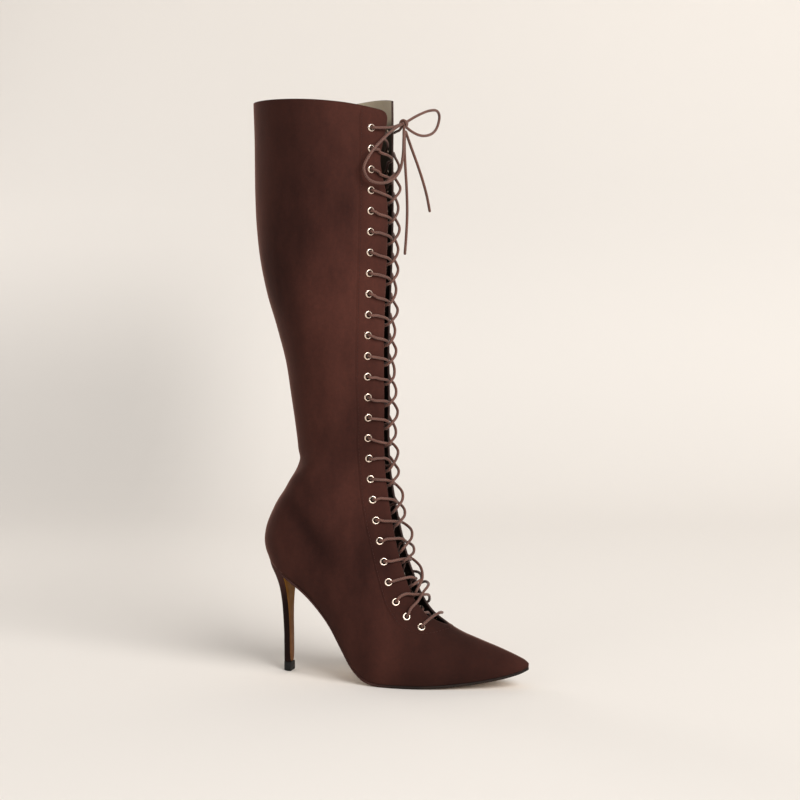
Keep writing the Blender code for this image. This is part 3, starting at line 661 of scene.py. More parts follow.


# Painted light and shade on the upper's suede, by height and from back to front on the shaft and on the foot, with a
# painted light rim along the shaft's back edge.
LIGHT_AND_SHADE_BY_HEIGHT = ((0.0, 0.70), (40.0, 0.82), (90.0, 0.95), (170.0, 0.99), (240.0, 1.10), (370.0, 1.10), (430.0, 0.92), (480.0, 0.84))
LIGHT_AND_SHADE_SHAFT = ((-30.0, 1.9), (-22.0, 0.92), (12.0, 0.66), (42.0, 0.90), (64.0, 1.04), (95.0, 1.04))
LIGHT_AND_SHADE_FOOT = ((-20.0, 1.28), (60.0, 1.36), (90.0, 1.20), (112.0, 0.74), (140.0, 0.58), (165.0, 0.59), (190.0, 0.76), (211.0, 0.92))
SUEDE = suede("suede_upper", (0.027, 0.0086, 0.0064), (0.074, 0.0240, 0.0172), 0.52, facing=True)
# the heel's suede with painted shade: darker towards the bottom of the heel
SHADED_HEEL_SUEDE = suede("suede_heel_shaded", (0.036, 0.0135, 0.0105), (0.062, 0.0230, 0.0175), 0.10,
                   by_height=((56.0, 0.22), (82.0, 1.0)))
LINING = lining_cloth()
EDGE = cut_edge()
CORD = braided_cord("lace_cord", (0.052, 0.0185, 0.012), (0.138, 0.054, 0.036))
THREAD = braided_cord("stitch_thread", (0.032, 0.0110, 0.0085), (0.052, 0.0185, 0.0140), 0.15, 0.0)
METAL = eyelet_metal()
SOLE_TAN = sole_leather("sole_tan", (0.42, 0.30, 0.18), (0.40, 0.27, 0.13), 0.0, 88.0, 0.50)
BREAST_TAN = sole_leather("breast_tan", (0.150, 0.066, 0.028), (0.29, 0.135, 0.014), 40.0, 86.0, 0.60, 0.08)
SOLE_SIDE = dark_solid("sole_side", (0.009, 0.0055, 0.0045), (0.020, 0.012, 0.009), 0.6, 0.8, 130.0,
                       arch=(0.046, 0.0165, 0.0125))
TIP = dark_solid("tip_rubber", (0.005, 0.005, 0.005), (0.012, 0.011, 0.011), 0.45, 0.65, 240.0)


# ------------------------------------------------------------ object helpers
def show(name, mesh, materials, slot, *nodes):
    ob = bpy.data.objects.new(name, mesh)
    bpy.context.scene.collection.objects.link(ob)
    for made in materials:
        mesh.materials.append(made)
    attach(ob, "root")
    if nodes:
        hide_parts(*nodes)
    return ob


def to_mesh(bm, name, sharp=None):
    mesh = bpy.data.meshes.new(name)
    bm.to_mesh(mesh)
    bm.free()
    mesh.shade_smooth()
    if sharp:
        mesh.set_sharp_from_angle(angle=math.radians(sharp))
    return mesh


def lofted(name, rings, close=True, sharp=40, side_of=None, end=0):
    """Closed solid through rings of equal length; side_of gives a face's material."""
    bm = bmesh.new()
    verts = [[bm.verts.new(metres(p)) for p in ring] for ring in rings]
    count = len(rings[0])
    for a, b in zip(verts, verts[1:]):
        for i in range(count):
            j = (i + 1) % count
            face = bm.faces.new((a[i], a[j], b[j], b[i]))
            if side_of:
                face.material_index = side_of(i)
    if close:
        for ring in (verts[0][::-1], verts[-1]):
            bm.faces.new(ring).material_index = end
    bmesh.ops.recalc_face_normals(bm, faces=bm.faces)
    return to_mesh(bm, name, sharp)


def smooth_route(points, spacing):
    """Evenly spaced points of a smooth curve through a route's own points."""
    points = np.array(points, float)
    knot = np.concatenate([[0.0], np.cumsum(np.linalg.norm(np.diff(points, axis=0), axis=1) ** 0.75)])
    fine = np.linspace(0, knot[-1], max(400, 14 * len(points)))
    curve = np.stack([smooth(knot, points[:, k].copy(), fine) for k in range(3)], axis=1)
    run = np.concatenate([[0.0], np.cumsum(np.linalg.norm(np.diff(curve, axis=0), axis=1))])
    stops = np.linspace(0, run[-1], max(3, int(round(run[-1] / spacing)) + 1))
    return np.stack([np.interp(stops, run, curve[:, k]) for k in range(3)], axis=1)


def add_tube(bm, route, radius, sides=12, closed_ends=True):
    """Tube with rounded ends along a route in millimetres, with UV round and along it."""
    uv = bm.loops.layers.uv.verify()
    route = np.array(route, float)
    tangent = np.gradient(route, axis=0)
    tangent /= np.linalg.norm(tangent, axis=1)[:, None]
    run = np.concatenate([[0.0], np.cumsum(np.linalg.norm(np.diff(route, axis=0), axis=1))])
    side = np.cross(tangent[0], (0.0, 0.0, 1.0))
    if np.linalg.norm(side) < 0.1:
        side = np.cross(tangent[0], (1.0, 0.0, 0.0))
    stops = [(0, -radius * 0.8, 0.35), (0, -radius * 0.55, 0.78)] if closed_ends else []
    stops += [(i, 0.0, 1.0) for i in range(len(route))]
    if closed_ends:
        stops += [(len(route) - 1, radius * 0.55, 0.78), (len(route) - 1, radius * 0.8, 0.35)]
    rings = []
    for i, ahead, size in stops:
        side = side - tangent[i] * (side @ tangent[i])
        side /= np.linalg.norm(side)
        other = np.cross(tangent[i], side)
        ring = []
        for k in range(sides):
            turn = 2 * math.pi * k / sides
            p = (route[i] + tangent[i] * ahead
                 + (side * math.cos(turn) + other * math.sin(turn)) * radius * size)
            ring.append(bm.verts.new(metres(p)))
        rings.append((ring, run[i] + ahead))
    for (a, u0), (b, u1) in zip(rings, rings[1:]):
        for k in range(sides):
            j = (k + 1) % sides
            face = bm.faces.new((a[k], a[j], b[j], b[k]))
            for loop, value in zip(face.loops, ((k, u0), (k + 1, u0), (k + 1, u1), (k, u1))):
                loop[uv].uv = (value[0] / sides, value[1])
    if closed_ends:
        bm.faces.new(rings[0][0][::-1])
        bm.faces.new(rings[-1][0])


def tube_mesh(name, route, radius, sides=12):
    bm = bmesh.new()
    add_tube(bm, route, radius, sides)
    bmesh.ops.recalc_face_normals(bm, faces=bm.faces)
    return to_mesh(bm, name)


# --------------------------------------------------------------------- upper
def folds_at(p, side):
    """What each soft fold of the table does to a point, in millimetres."""
    made = []
    for i in range(len(FOLDS["x0"])):
        if not FOLDS["lateral" if side == LATERAL else "medial"][i]:
            continue
        a = np.array((FOLDS["x0"][i], FOLDS["z0"][i]))
        b = np.array((FOLDS["x1"][i], FOLDS["z1"][i]))
        here = np.array((p[0], p[2]))
        t = ((here - a) @ (b - a)) / ((b - a) @ (b - a))
        away = np.linalg.norm(here - a - np.clip(t, 0, 1) * (b - a)) / FOLDS["width"][i]
        made.append(FOLDS["depth"][i] * math.exp(-away ** 2)
                    * (0.45 + 0.55 * math.sin(math.pi * min(max(t, 0), 1))))
    return made


def fold_depth(p, side):
    """How far the soft folds and the slack of the suede move a point, in millimetres."""
    total = sum(folds_at(p, side))
    slack = noise.noise(Vector((p[0] / 55, p[1] / 55, p[2] / 90))) * 0.9
    slack += noise.noise(Vector((p[0] / 20 + 7, p[1] / 20, p[2] / 34))) * 0.22
    return total + slack * float(ease((p[2] - 20) / 60))


def section_numbers():
    even = np.interp(np.arange(0, RUN[-1], 4.4), RUN, np.arange(len(RUN)))
    extra = [[0.0, COLLAR_AT, THROAT_AT],
             0.5 * np.linspace(0, 1, 8) ** 2,
             THROAT_AT + 0.9 * np.linspace(0, 1, 12) ** 2,
             HEEL_AT - 0.8 * np.linspace(0, 1, 12) ** 2,
             COLLAR_AT - 0.45 * np.linspace(0, 1, 14) ** 2]
    merged = np.unique(np.concatenate([even] + [np.asarray(e, float) for e in extra]))
    kept = [merged[0]]
    must = {0.0, float(COLLAR_AT), float(HEEL_AT), float(THROAT_AT)}
    for value in merged[1:]:
        if value in must:
            while value - kept[-1] < 0.004 and kept[-1] not in must:
                kept.pop()
            kept.append(value)
        elif value - kept[-1] > 0.004:
            kept.append(value)
    return kept


def upper_row(at, side):
    points, length = half_contour(at, side, 110)
    gap, whole = opening(at, side), length[-1]
    usable = whole - gap
    seam = min(section(at)["eyelet"] + SEAM_BEHIND, gap + 0.52 * usable)
    near = min(0.9, usable * 0.03)
    front = gap + (seam - near - gap) * np.linspace(0, 1, 15)
    line = seam + near * np.array((-0.35, 0.0, 0.35))
    rear = seam + near + (whole - seam - near) * np.linspace(0, 1, 46)
    stops = np.concatenate([front, line, rear])
    where = np.stack([np.interp(whole - stops, length, points[:, k]) for k in range(3)], axis=1)
    fade = float(ease((at - 7.6) / 1.2))
    layer = fade * (1 - ease((stops - seam + near * 0.6) / (near * 1.2)))
    groove = -0.14 * fade * np.exp(-((stops - seam - near * 0.4) / (near * 0.7)) ** 2)
    return where, layer, groove


def build_upper():
    bm = bmesh.new()
    strip = bm.verts.layers.float.new("facing")
    raised = bm.verts.layers.float.new("raised")
    painted_trough_shade = bm.verts.layers.float.new("painted_trough_shade")
    numbers = section_numbers()
    for side in (LATERAL, MEDIAL):
        grid = []
        for at in numbers:
            where, layer, groove = upper_row(at, side)
            row = []
            for p, over, deep in zip(where, layer, groove):
                vert = bm.verts.new(metres(p))
                vert[strip] = over
                vert[raised] = over * FACING_STEP + deep
                row.append(vert)
            grid.append(row)
        for a, b in zip(grid, grid[1:]):
            for j in range(len(a) - 1):
                quad = (a[j], a[j + 1], b[j + 1], b[j])
                bm.faces.new(quad if side == MEDIAL else quad[::-1])
    bmesh.ops.remove_doubles(bm, verts=bm.verts, dist=0.000004)
    bmesh.ops.dissolve_degenerate(bm, edges=bm.edges, dist=0.000001)
    bm.normal_update()
    moves = []
    for vert in bm.verts:
        p = vert.co / MM
        side = LATERAL if p.y < 0 else MEDIAL
        deep = fold_depth((p.x + ORIGIN_X, p.y, p.z), side)
        if vert.is_boundary or p.z < 30:
            deep *= float(ease((p.z - 12) / 40))
        hollow = -sum(min(d, 0.0) for d in folds_at((p.x + ORIGIN_X, p.y, p.z), side))
        # painted shade in the fold troughs, by how deep the folds go
        vert[painted_trough_shade] = min(hollow / 2.4, 1.0)
        moves.append(vert.normal * (deep + vert[raised]) * MM)
    for vert, move in zip(list(bm.verts), moves):
        vert.co += move
    bm.normal_update()
    # inner face and rounded rims
    outer_faces = list(bm.faces)
    outer = list(bm.verts)
    inner = {v: bm.verts.new(v.co - v.normal * WALL * MM) for v in outer}
    for v in outer:
        inner[v][strip] = v[strip]
    rims = [e for e in bm.edges if e.is_boundary]
    tips = {}
    for edge in rims:
        for vert in edge.verts:
            if vert in tips:
                continue
            along = [e for e in vert.link_edges if e.is_boundary]
            a, b = along[0].other_vert(vert), along[1].other_vert(vert)
            middle = sum((f.calc_center_median() for f in vert.link_faces), Vector()) / len(vert.link_faces)
            away = (a.co - b.co).cross(vert.normal)
            if away.dot(middle - vert.co) > 0:
                away.negate()
            away.normalize()
            out = []
            for turn, bulge in ((0.14, 0.26), (0.5, 0.40), (0.86, 0.26)):
                made = bm.verts.new(vert.co - vert.normal * WALL * MM * turn + away * bulge * MM)
                made[strip] = vert[strip]
                out.append(made)
            tips[vert] = [vert, *out, inner[vert]]
    for face in outer_faces:
        bm.faces.new([inner[v] for v in reversed(face.verts)]).material_index = 1
    for edge in rims:
        loop = edge.link_loops[0]
        first, second = loop.link_loop_next.vert, loop.vert
        for k in range(4):
            face = bm.faces.new((tips[first][k], tips[second][k], tips[second][k + 1], tips[first][k + 1]))
            face.material_index = 2
    bmesh.ops.recalc_face_normals(bm, faces=bm.faces)
    mesh = to_mesh(bm, "upper_suede")
    ob = show("upper_suede", mesh, [SUEDE, LINING, EDGE], "suede", "upper")
    cut_eyelet_holes(ob)
    return ob


def cut_eyelet_holes(ob):
    bm = bmesh.new()
    for side in (LATERAL, MEDIAL):
        for at, reach in zip(PLACES, REACH):
            here, normal, up = wall_frame(at, side * reach)
            spin = Vector(normal).to_track_quat("Z", "Y").to_matrix().to_4x4()
            put = Matrix.Translation(metres(here - normal * 0.8)) @ spin
            bmesh.ops.create_cone(bm, cap_ends=True, segments=16, radius1=2.4 * MM, radius2=2.4 * MM,
                                  depth=9 * MM, matrix=put)
    tool = bpy.data.objects.new("hole_tool", to_mesh(bm, "hole_tool"))
    tool.data.materials.append(EDGE)
    bpy.context.scene.collection.objects.link(tool)
    cut = ob.modifiers.new("eyelet_holes", "BOOLEAN")
    cut.operation = "DIFFERENCE"
    cut.solver = "EXACT"
    cut.material_mode = "TRANSFER"
    cut.object = tool
    bpy.context.view_layer.update()
    done = bpy.data.meshes.new_from_object(ob.evaluated_get(bpy.context.evaluated_depsgraph_get()))
    ob.modifiers.clear()
    old = ob.data
    ob.data = done
    bpy.data.meshes.remove(old)
    done.name = "upper_suede"
    bpy.data.objects.remove(tool, do_unlink=True)


# ----------------------------------------------------------- sole and insole
def ribbon(places, bottom, top, half, edge):
    """Rings of a sole, with its edge rounded by a few points."""
    rings = []
    for x in places:
        axis = float(sole("axis", x))
        low, high = bottom(x), top(x)
        tall = high - low
        ring = []
        for side in (LATERAL, MEDIAL):
            width = half(x, side)
            soft = min(edge, width * 0.5)
            span = [(w, low) for w in np.linspace(0.0, max(width - soft, 0.0), 9)[1:]]
            span += [(width - 0.3 * soft, low + tall * 0.06), (width, low + tall * 0.28),
                     (width, low + tall * 0.72), (width - 0.3 * soft, low + tall * 0.95)]
            span += [(w, high) for w in np.linspace(max(width - soft, 0.0), 0.0, 9)[:-1]]
            side_points = [(x, axis + side * w, z) for w, z in span]
            if side == LATERAL:
                ring += [(x, axis, low)] + side_points + [(x, axis, high)]
            else:
                ring += side_points[::-1]
        rings.append(ring)
    return rings


def stations(start, end, heel_round, toe_round_length):
    heel = start + heel_round * np.linspace(0, 1, 14, endpoint=False) ** 2 if heel_round else np.array([])
    body = np.linspace(start + heel_round, end - toe_round_length, 110)
    toe = end - toe_round_length * np.linspace(1, 0, 18)[1:] ** 2
    return np.concatenate([heel, body, toe])


def build_outsole():
    rings = ribbon(stations(BREAST_END, TOE_X - 0.05, 0.0, 10.0),
                   lambda x: float(sole("z", x)), lambda x: float(sole_top(x)),
                   lambda x, side: float(feather_half(x, side)) + SOLE_EDGE, 0.9)
    count = len(rings[0])
    ids = [1] * count
    for i in list(range(0, 8)) + list(range(count - 8, count)):
        ids[i] = 0                       # underside keeps the tan
    mesh = lofted("outsole_leather", rings, side_of=lambda i: ids[i], sharp=45, end=1)
    ob = show("outsole_leather", mesh, [SOLE_TAN, SOLE_SIDE], "sole", "outsole")
    # flap of the sole, turned down over the front of the heel
    rings = []
    for t in np.linspace(0.02, 6.55, 60):
        row = heel_row(t)
        x = row["breast_x"] + FIT_GAP * 0.4
        half = (row["half"] - 0.25) * (0.30 + 0.70 * float(quarter_round(t, 0.5)))
        ring = [(x, -half, row["breast_z"])]
        for w in np.linspace(-1, 1, 13):
            crown = FLAP_THICK * (0.55 + 0.45 * math.sqrt(max(0.0, 1 - abs(w) ** 6)))
            ring.append((x + crown, half * w, row["breast_z"]))
        ring.append((x, half, row["breast_z"]))
        rings.append(ring)
    show("breast_flap", lofted("breast_flap", rings, sharp=50), [BREAST_TAN], "sole")
    return ob


def build_insole():
    rings = ribbon(stations(HEEL_X + INSOLE_END, TOE_X - INSOLE_END, 9.0, 8.0),
                   lambda x: float(feather_z(x)) + 0.02,
                   lambda x: float(feather_z(x)) + INSOLE_THICK,
                   lambda x, side: max(float(feather_half(x, side)) - INSOLE_INSET, 0.4), 0.8)
    return show("insole_sock", lofted("insole_sock", rings, sharp=45), [LINING], "lining", "insole")


# ---------------------------------------------------------- heel and its tip
def heel_row(t):
    rows = np.arange(len(HEEL["half"]), dtype=float)
    return {name: float(smooth(rows, column, t)) for name, column in HEEL.items()}


def d_ring(back_x, back_z, breast_x, breast_z, half, count=44):
    """D-shaped outline: flat in front, round behind, with soft front corners."""
    ring = []
    for turn in np.linspace(-math.pi / 2, math.pi / 2, count):
        back = math.cos(turn) ** 0.95
        ring.append((breast_x + (back_x - breast_x) * back, half * math.sin(turn),
                     breast_z + (back_z - breast_z) * back))
    return ring


def build_heel():
    last = len(HEEL["half"]) - 1
    rings = [d_ring(**heel_row(t)) for t in np.linspace(0, last, 90)]
    seat = []
    for x, y, _ in rings[-1]:
        side = LATERAL if y < 0 else MEDIAL
        seat.append((x, side * min(abs(y), float(feather_half(x, side))), float(sole_top(x))))
    top = np.array(rings[-1])
    shift = np.array(seat) - top
    for k in range(1, 16):               # lead the last rings into the seat's outline
        share = (1 - k / 16) ** 2
        rings[-1 - k] = [tuple(np.array(p) + s * share) for p, s in zip(rings[-1 - k], shift)]
    rings[-1] = seat
    show("heel_covered", lofted("heel_covered", rings, sharp=48), [SHADED_HEEL_SUEDE], "suede", "heel")
    profile = ((0.0, -0.35), (0.25, -0.08), (0.8, 0.0), (TIP_HIGH - 0.5, 0.0), (TIP_HIGH - 0.1, -0.15),
               (TIP_HIGH, -0.4))
    rings = [d_ring(back_x=-4.8 - out, back_z=z, breast_x=3.0 + out, breast_z=z, half=4.9 + out)
             for z, out in profile]
    show("heel_top_piece", lofted("heel_top_piece", rings, sharp=40), [TIP], "top_piece", "heel_tip")


# ------------------------------------------------------------------- eyelets
def build_eyelets():
    """Set metal eyelets: barrel through the wall, domed flange outside, rolled rim inside."""
    profile = ((2.0, -2.35), (2.0, -0.1), (2.07, 0.42), (2.25, 0.78), (2.55, 0.94), (2.86, 0.90),
               (3.15, 0.70), (3.38, 0.40), (3.50, 0.08), (3.35, -0.06), (2.34, -0.06), (2.27, -0.4),
               (2.27, -1.85), (2.34, -1.98), (2.70, -2.02), (2.85, -2.15), (2.75, -2.38), (2.40, -2.52),
               (2.08, -2.48))
    sides = 28
    for side, word in ((LATERAL, "lateral"), (MEDIAL, "medial")):
        bm = bmesh.new()
        for at, reach in zip(PLACES, REACH):
            here, normal, up = wall_frame(at, side * reach)
            z = Vector(normal)
            x = Vector(np.cross(up, normal)).normalized()
            put = (Matrix.Translation(metres(here + normal * (FACING_STEP + eyelet_swell(here, side))))
                   @ Matrix((x, z.cross(x), z)).transposed().to_4x4())
            rings = []
            for r, h in profile:
                rings.append([bm.verts.new(put @ Vector((r * MM * math.cos(2 * math.pi * k / sides),
                                                         r * MM * math.sin(2 * math.pi * k / sides), h * MM)))
                              for k in range(sides)])
            for a, b in zip(rings, rings[1:] + rings[:1]):
                for k in range(sides):
                    j = (k + 1) % sides
                    bm.faces.new((a[k], a[j], b[j], b[k]))
        bmesh.ops.recalc_face_normals(bm, faces=bm.faces)
        names = ["eyelet_%s_%02d" % (word, k) for k in range(1, EYELETS + 1)]
        show("eyelets_" + word, to_mesh(bm, "eyelets_" + word, 50), [METAL], "eyelet", *names)


def eyelet_swell(here, side):
    """The wall's own soft move at an eyelet, so that the ring sits on it."""
    return fold_depth(here, side)


# ---------------------------------------------------------------------- lace
def square_to_ridge(k):
    """Pitches that a line square to the ridge runs down, from an eyelet to the ridge."""
    step = pitch_at(k)
    spot = wall_point(PLACES[k], -REACH[k])
    low, high = 0.0, 3.0
    for _ in range(30):
        middle = (low + high) / 2
        row = PLACES[k] + step * middle
        here = wall_point(row, 0.01)
        down = wall_point(row - 0.02, 0.01) - here
        low, high = (middle, high) if (spot - here) @ down > 0 else (low, middle)
    return low


def pitch_at(k):
    k = min(k, EYELETS - 2)
    return PLACES[k + 1] - PLACES[k]


SQUARE = [square_to_ridge(k) for k in range(EYELETS)]

# The cord lies a little differently in every crossing: more or less slack, in
# millimetres of bulge and shares of the pitch.
SLACK = table("bulge along", (0.0, 0.0), (0.8, 0.04), (-0.5, -0.05), (1.3, 0.07), (0.3, -0.03), (-0.8, 0.02),
              (0.9, -0.06), (-0.2, 0.05), (1.6, 0.0), (-0.4, 0.03), (0.5, -0.04))

# Where a medial strand's arc leaves its flap and goes in behind the other one, in
# pitches below its own eyelet; row 0 stands for the rows that aren't named.
DROOP = table(
    "row  leaves goes_in",
    (0,   0.10,  1.55),
    (18,  0.22,  1.98),
    (19,  0.28,  1.62),
    (20,  0.22,  1.95),
    (21,  0.38,  1.42),
    (22,  0.10,  2.10),
    (23,  0.05,  0.75))

# The lowest strands cross outside at both ends: section number, distance from the
# ridge (lateral minus) and lift, from each strand's own eyelet.
LOW_LATERAL = table(
    "at    around lift",
    (8.70, -31.5, 3.0),
    (8.50, -23.0, 2.9),
    (8.10, -13.5, 3.2),
    (7.82,  -6.5, 3.9),
    (7.60,   4.0, 4.2),
    (7.52,  10.0, 3.2),
    (7.55,  17.0, 2.4),
    (7.70,  24.0, 2.6))
LOW_MEDIAL = table(
    "at    around lift",
    (8.67,  30.5, 3.0),
    (8.52,  21.0, 4.2),
    (8.35,  13.0, 6.6),
    (8.12,   6.0, 8.0),
    (7.98,   0.1, 8.0),
    (7.90,  -8.0, 7.0),
    (7.80, -15.0, 5.0),
    (7.86, -24.5, 3.2))
BOTTOM_BAR = table(
    "at    around lift",
    (6.80,  20.0, 3.0),
    (6.60,  13.0, 3.2),
    (6.42,   5.5, 3.6),
    (6.46,  -1.0, 3.7),
    (6.60,  -8.5, 3.3),
    (6.80, -19.5, 3.0))


def placed(rows):
    made = []
    for at, around, lift in zip(rows["at"], rows["around"], rows["lift"]):
        swell = fold_depth(wall_point(at, around), LATERAL if around < 0 else MEDIAL)
        made.append(off_wall(at, around, lift + swell))
    return made


def row_at(k, t):
    """Section number t pitches below eyelet k."""
    if k + t > EYELETS - 1:
        return PLACES[k] + pitch_at(k) * t
    return float(np.interp(k + t, np.arange(EYELETS), PLACES))


def lace_points(k, side, rows):
    """Points of a strand that starts at eyelet k of a side.

    A row is share of the pitch, 0 on the start side or 1 on the other, what the
    distance from the ridge is measured by (e eyelet, g flap's edge, x share of
    the gap, m share of the flap between edge and eyelet), its value and the lift.
    """
    made, nearer = [], min(k + 1, EYELETS - 1)
    for t, far, base, value, lift in rows:
        reach = REACH[nearer] if far else REACH[k]
        lean = SQUARE[k] * (1 - t) + SQUARE[nearer] * t
        at, around = row_at(k, t), reach
        for _ in range(3):
            here = -side if far else side
            gap = max(opening(at, here), 2.5) if at < COLLAR_CUT_AT else section(at)["gap"]
            around = {"e": reach + value, "g": gap + value, "x": gap * value,
                      "m": gap + (reach - gap) * value}[base]
            at = row_at(k, t + lean * (1 - min(abs(around) / reach, 1.0)))
        signed = (-side if far else side) * around
        swell = fold_depth(wall_point(at, signed), LATERAL if signed < 0 else MEDIAL)
        made.append(off_wall(at, signed, lift + swell))
    return made


def through(k, side, outward):
    """The cord inside an eyelet's barrel."""
    made = lace_points(k, side, [(0.0, 0, "e", -0.5, lift) for lift in (-2.9, -1.0, 1.15)])
    return made if outward else made[::-1]


def slack_of(k, side):
    i = (2 * k + (side == MEDIAL)) * 5 % len(SLACK["bulge"])
    return SLACK["bulge"][i], SLACK["along"][i]


def strand_under(k, side):
    """Lateral start: over its own flap's edge, then in behind the other flap."""
    b, s = slack_of(k, side)
    return lace_points(k, side, (
        (0.02, 0, "e", -0.8, 2.5), (0.05, 0, "e", -2.8, 3.0), (0.10 + s, 0, "e", -6.5, 2.5),
        (0.17 + s, 0, "m", 0.35, 2.0), (0.24 + s, 0, "g", 0.8, 2.0), (0.31 + s, 0, "x", 0.62, 1.6),
        (0.40, 0, "x", 0.1, 0.8), (0.48, 1, "x", 0.4, -0.5), (0.53, 1, "g", -2.4, -2.1),
        (0.56, 1, "g", 1.0, -4.3), (0.68, 1, "g", 6.0, -4.7), (0.88, 1, "e", -6.0, -4.6),
        (1.0, 1, "e", -1.2, -4.2)))


def strand_over(k, side):
    """Medial start: proud of its own flap in a drooping arc, then in behind the other flap.

    It goes in below the eyelet that it comes out of, by the row's droop.
    """
    b, s = slack_of(k, side)
    row = int(np.flatnonzero(DROOP["row"] == k + 1)[0]) if k + 1 in DROOP["row"] else 0
    leaves, goes_in = DROOP["leaves"][row], DROOP["goes_in"][row] + 0.4 * s

    def t(share):
        return leaves + share * (goes_in - leaves)

    return lace_points(k, side, (
        (0.0, 0, "e", -0.8, 2.5), (0.0, 0, "e", -2.8, 2.6), (0.5 * t(0.05), 0, "e", -8.0, 1.8),
        (t(0.16), 0, "g", 2.5, 1.9), (t(0.28), 0, "g", -1.8, 3.4 + 0.4 * b),
        (t(0.46), 0, "x", 0.3, 5.4 + b), (t(0.65), 1, "x", 0.1, 5.8 + 0.8 * b),
        (t(0.80), 1, "x", 0.45, 5.2 + 0.3 * b), (t(0.93), 1, "g", -2.4, 3.9), (t(1.0), 1, "g", -2.2, 0.6),
        (t(1.02), 1, "g", -2.0, -2.4), (t(1.0), 1, "g", 3.0, -4.5), (0.5 * goes_in + 0.5, 1, "e", -7.0, -4.6),
        (1.0, 1, "e", -1.2, -4.2)))


def strand_inside(k, side):
    deep = -4.8 if side == LATERAL else -8.2
    return lace_points(k, side, (
        (0.0, 0, "e", -1.2, -4.2), (0.15, 0, "m", 0.5, -4.7), (0.35, 0, "g", 0.0, deep),
        (0.5, 0, "x", 0.0, deep - 0.4), (0.65, 1, "g", 0.0, deep), (0.85, 1, "m", 0.5, -4.7),
        (1.0, 1, "e", -1.2, -4.2)))


def strand_outside(k, side):
    """Low on the instep both strands stay outside at their two ends, one over the other."""
    return (lace_points(k, side, [(0.0, 0, "e", -0.8, 2.5)])
            + placed(LOW_LATERAL if side == LATERAL else LOW_MEDIAL)
            + lace_points(k, side, [(1.0, 1, "e", -0.8, 2.5)]))


def bottom_bar():
    ends = {side: lace_points(EYELETS - 1, side, [(0.0, 0, "e", -0.8, 2.5)]) for side in (LATERAL, MEDIAL)}
    return ends[MEDIAL] + placed(BOTTOM_BAR) + ends[LATERAL]


def knot_centre():
    return by_height(KNOT)[0]


def zigzag(first):
    """Route of one half of the cord, from the inside of a top eyelet down."""
    route, side = [], first
    low = EYELETS - 1
    for k in range(low):
        if k in (0, low - 1):
            route += strand_inside(k, side)
        else:
            route += through(k, side, True)
            if k == low - 2:
                route += strand_outside(k, side) + through(k + 1, -side, False)
            else:
                route += strand_under(k, side) if side == LATERAL else strand_over(k, side)
        side = -side
    return route, side


def build_lace():
    knot = knot_centre()
    ways = {}
    for side in (LATERAL, MEDIAL):
        reach = REACH[0]
        ways[side] = [knot + np.array((-1.5, side * 2.0, -0.5))]
        ways[side] += [off_wall(PLACES[0] + rise, side * a, lift) for a, lift, rise in
                       ((reach * 0.38, 5.6, 0.03), (reach * 0.66, 3.4, 0.01), (reach - 2.8, 3.15, 0.0),
                        (reach - 0.8, 2.55, 0.0))]
        ways[side] += through(0, side, False)
    down, last = zigzag(LATERAL)
    up, other = zigzag(MEDIAL)
    low = EYELETS - 1
    route = ways[LATERAL] + down + through(low, last, True)
    bar = bottom_bar()
    route += bar if last == MEDIAL else bar[::-1]
    route += through(low, other, False) + up[::-1] + ways[MEDIAL][::-1]
    return show("lace_run", tube_mesh("lace_run", smooth_route(route, 1.5), LACE_RADIUS, 10),
                [CORD], "cord", "lace")


def build_bow():
    knot = knot_centre()
    _, normal, up = wall_frame(section_at_height(KNOT["height"][0], KNOT["around"][0]), KNOT["around"][0])
    across = np.cross(up, normal)
    # the knot itself: two wraps of the cord round the crossing strands
    turns = np.linspace(0, 2.3 * 2 * math.pi, 60)
    wrap = [knot + across * (-2.7 + 5.4 * t / turns[-1]) + (up * math.sin(t) * 2.6 + normal * math.cos(t) * 2.5)
            for t in turns]
    bm = bmesh.new()
    add_tube(bm, np.array(wrap), LACE_RADIUS, 12)
    core = [knot - across * 4.2 - up * 0.6, knot - across * 1.5, knot + across * 1.5, knot + across * 4.2 - up * 0.4]
    add_tube(bm, smooth_route(core, 0.8), LACE_RADIUS * 1.15, 12)
    bmesh.ops.recalc_face_normals(bm, faces=bm.faces)
    knot_piece = show("lace_knot", to_mesh(bm, "lace_knot"), [CORD], "cord", "lace_bow")
    for name, rows in (("bow_loop_lateral", LATERAL_LOOP), ("bow_loop_medial", MEDIAL_LOOP)):
        route = smooth_route(by_height(rows), 1.6)
        loop = show(name, tube_mesh(name, route, LACE_RADIUS), [CORD], "cord", "lace_bow")
    whole = smooth_route(by_height(HANGING_ENDS), 1.6)
    top = int(np.argmax(whole[:, 2]))
    for name, route in (("lace_end_lateral", whole[:top + 1][::-1]), ("lace_end_medial", whole[top:])):
        end = show(name, tube_mesh(name, route, LACE_RADIUS), [CORD], "cord", "lace_ends")
    return knot_piece


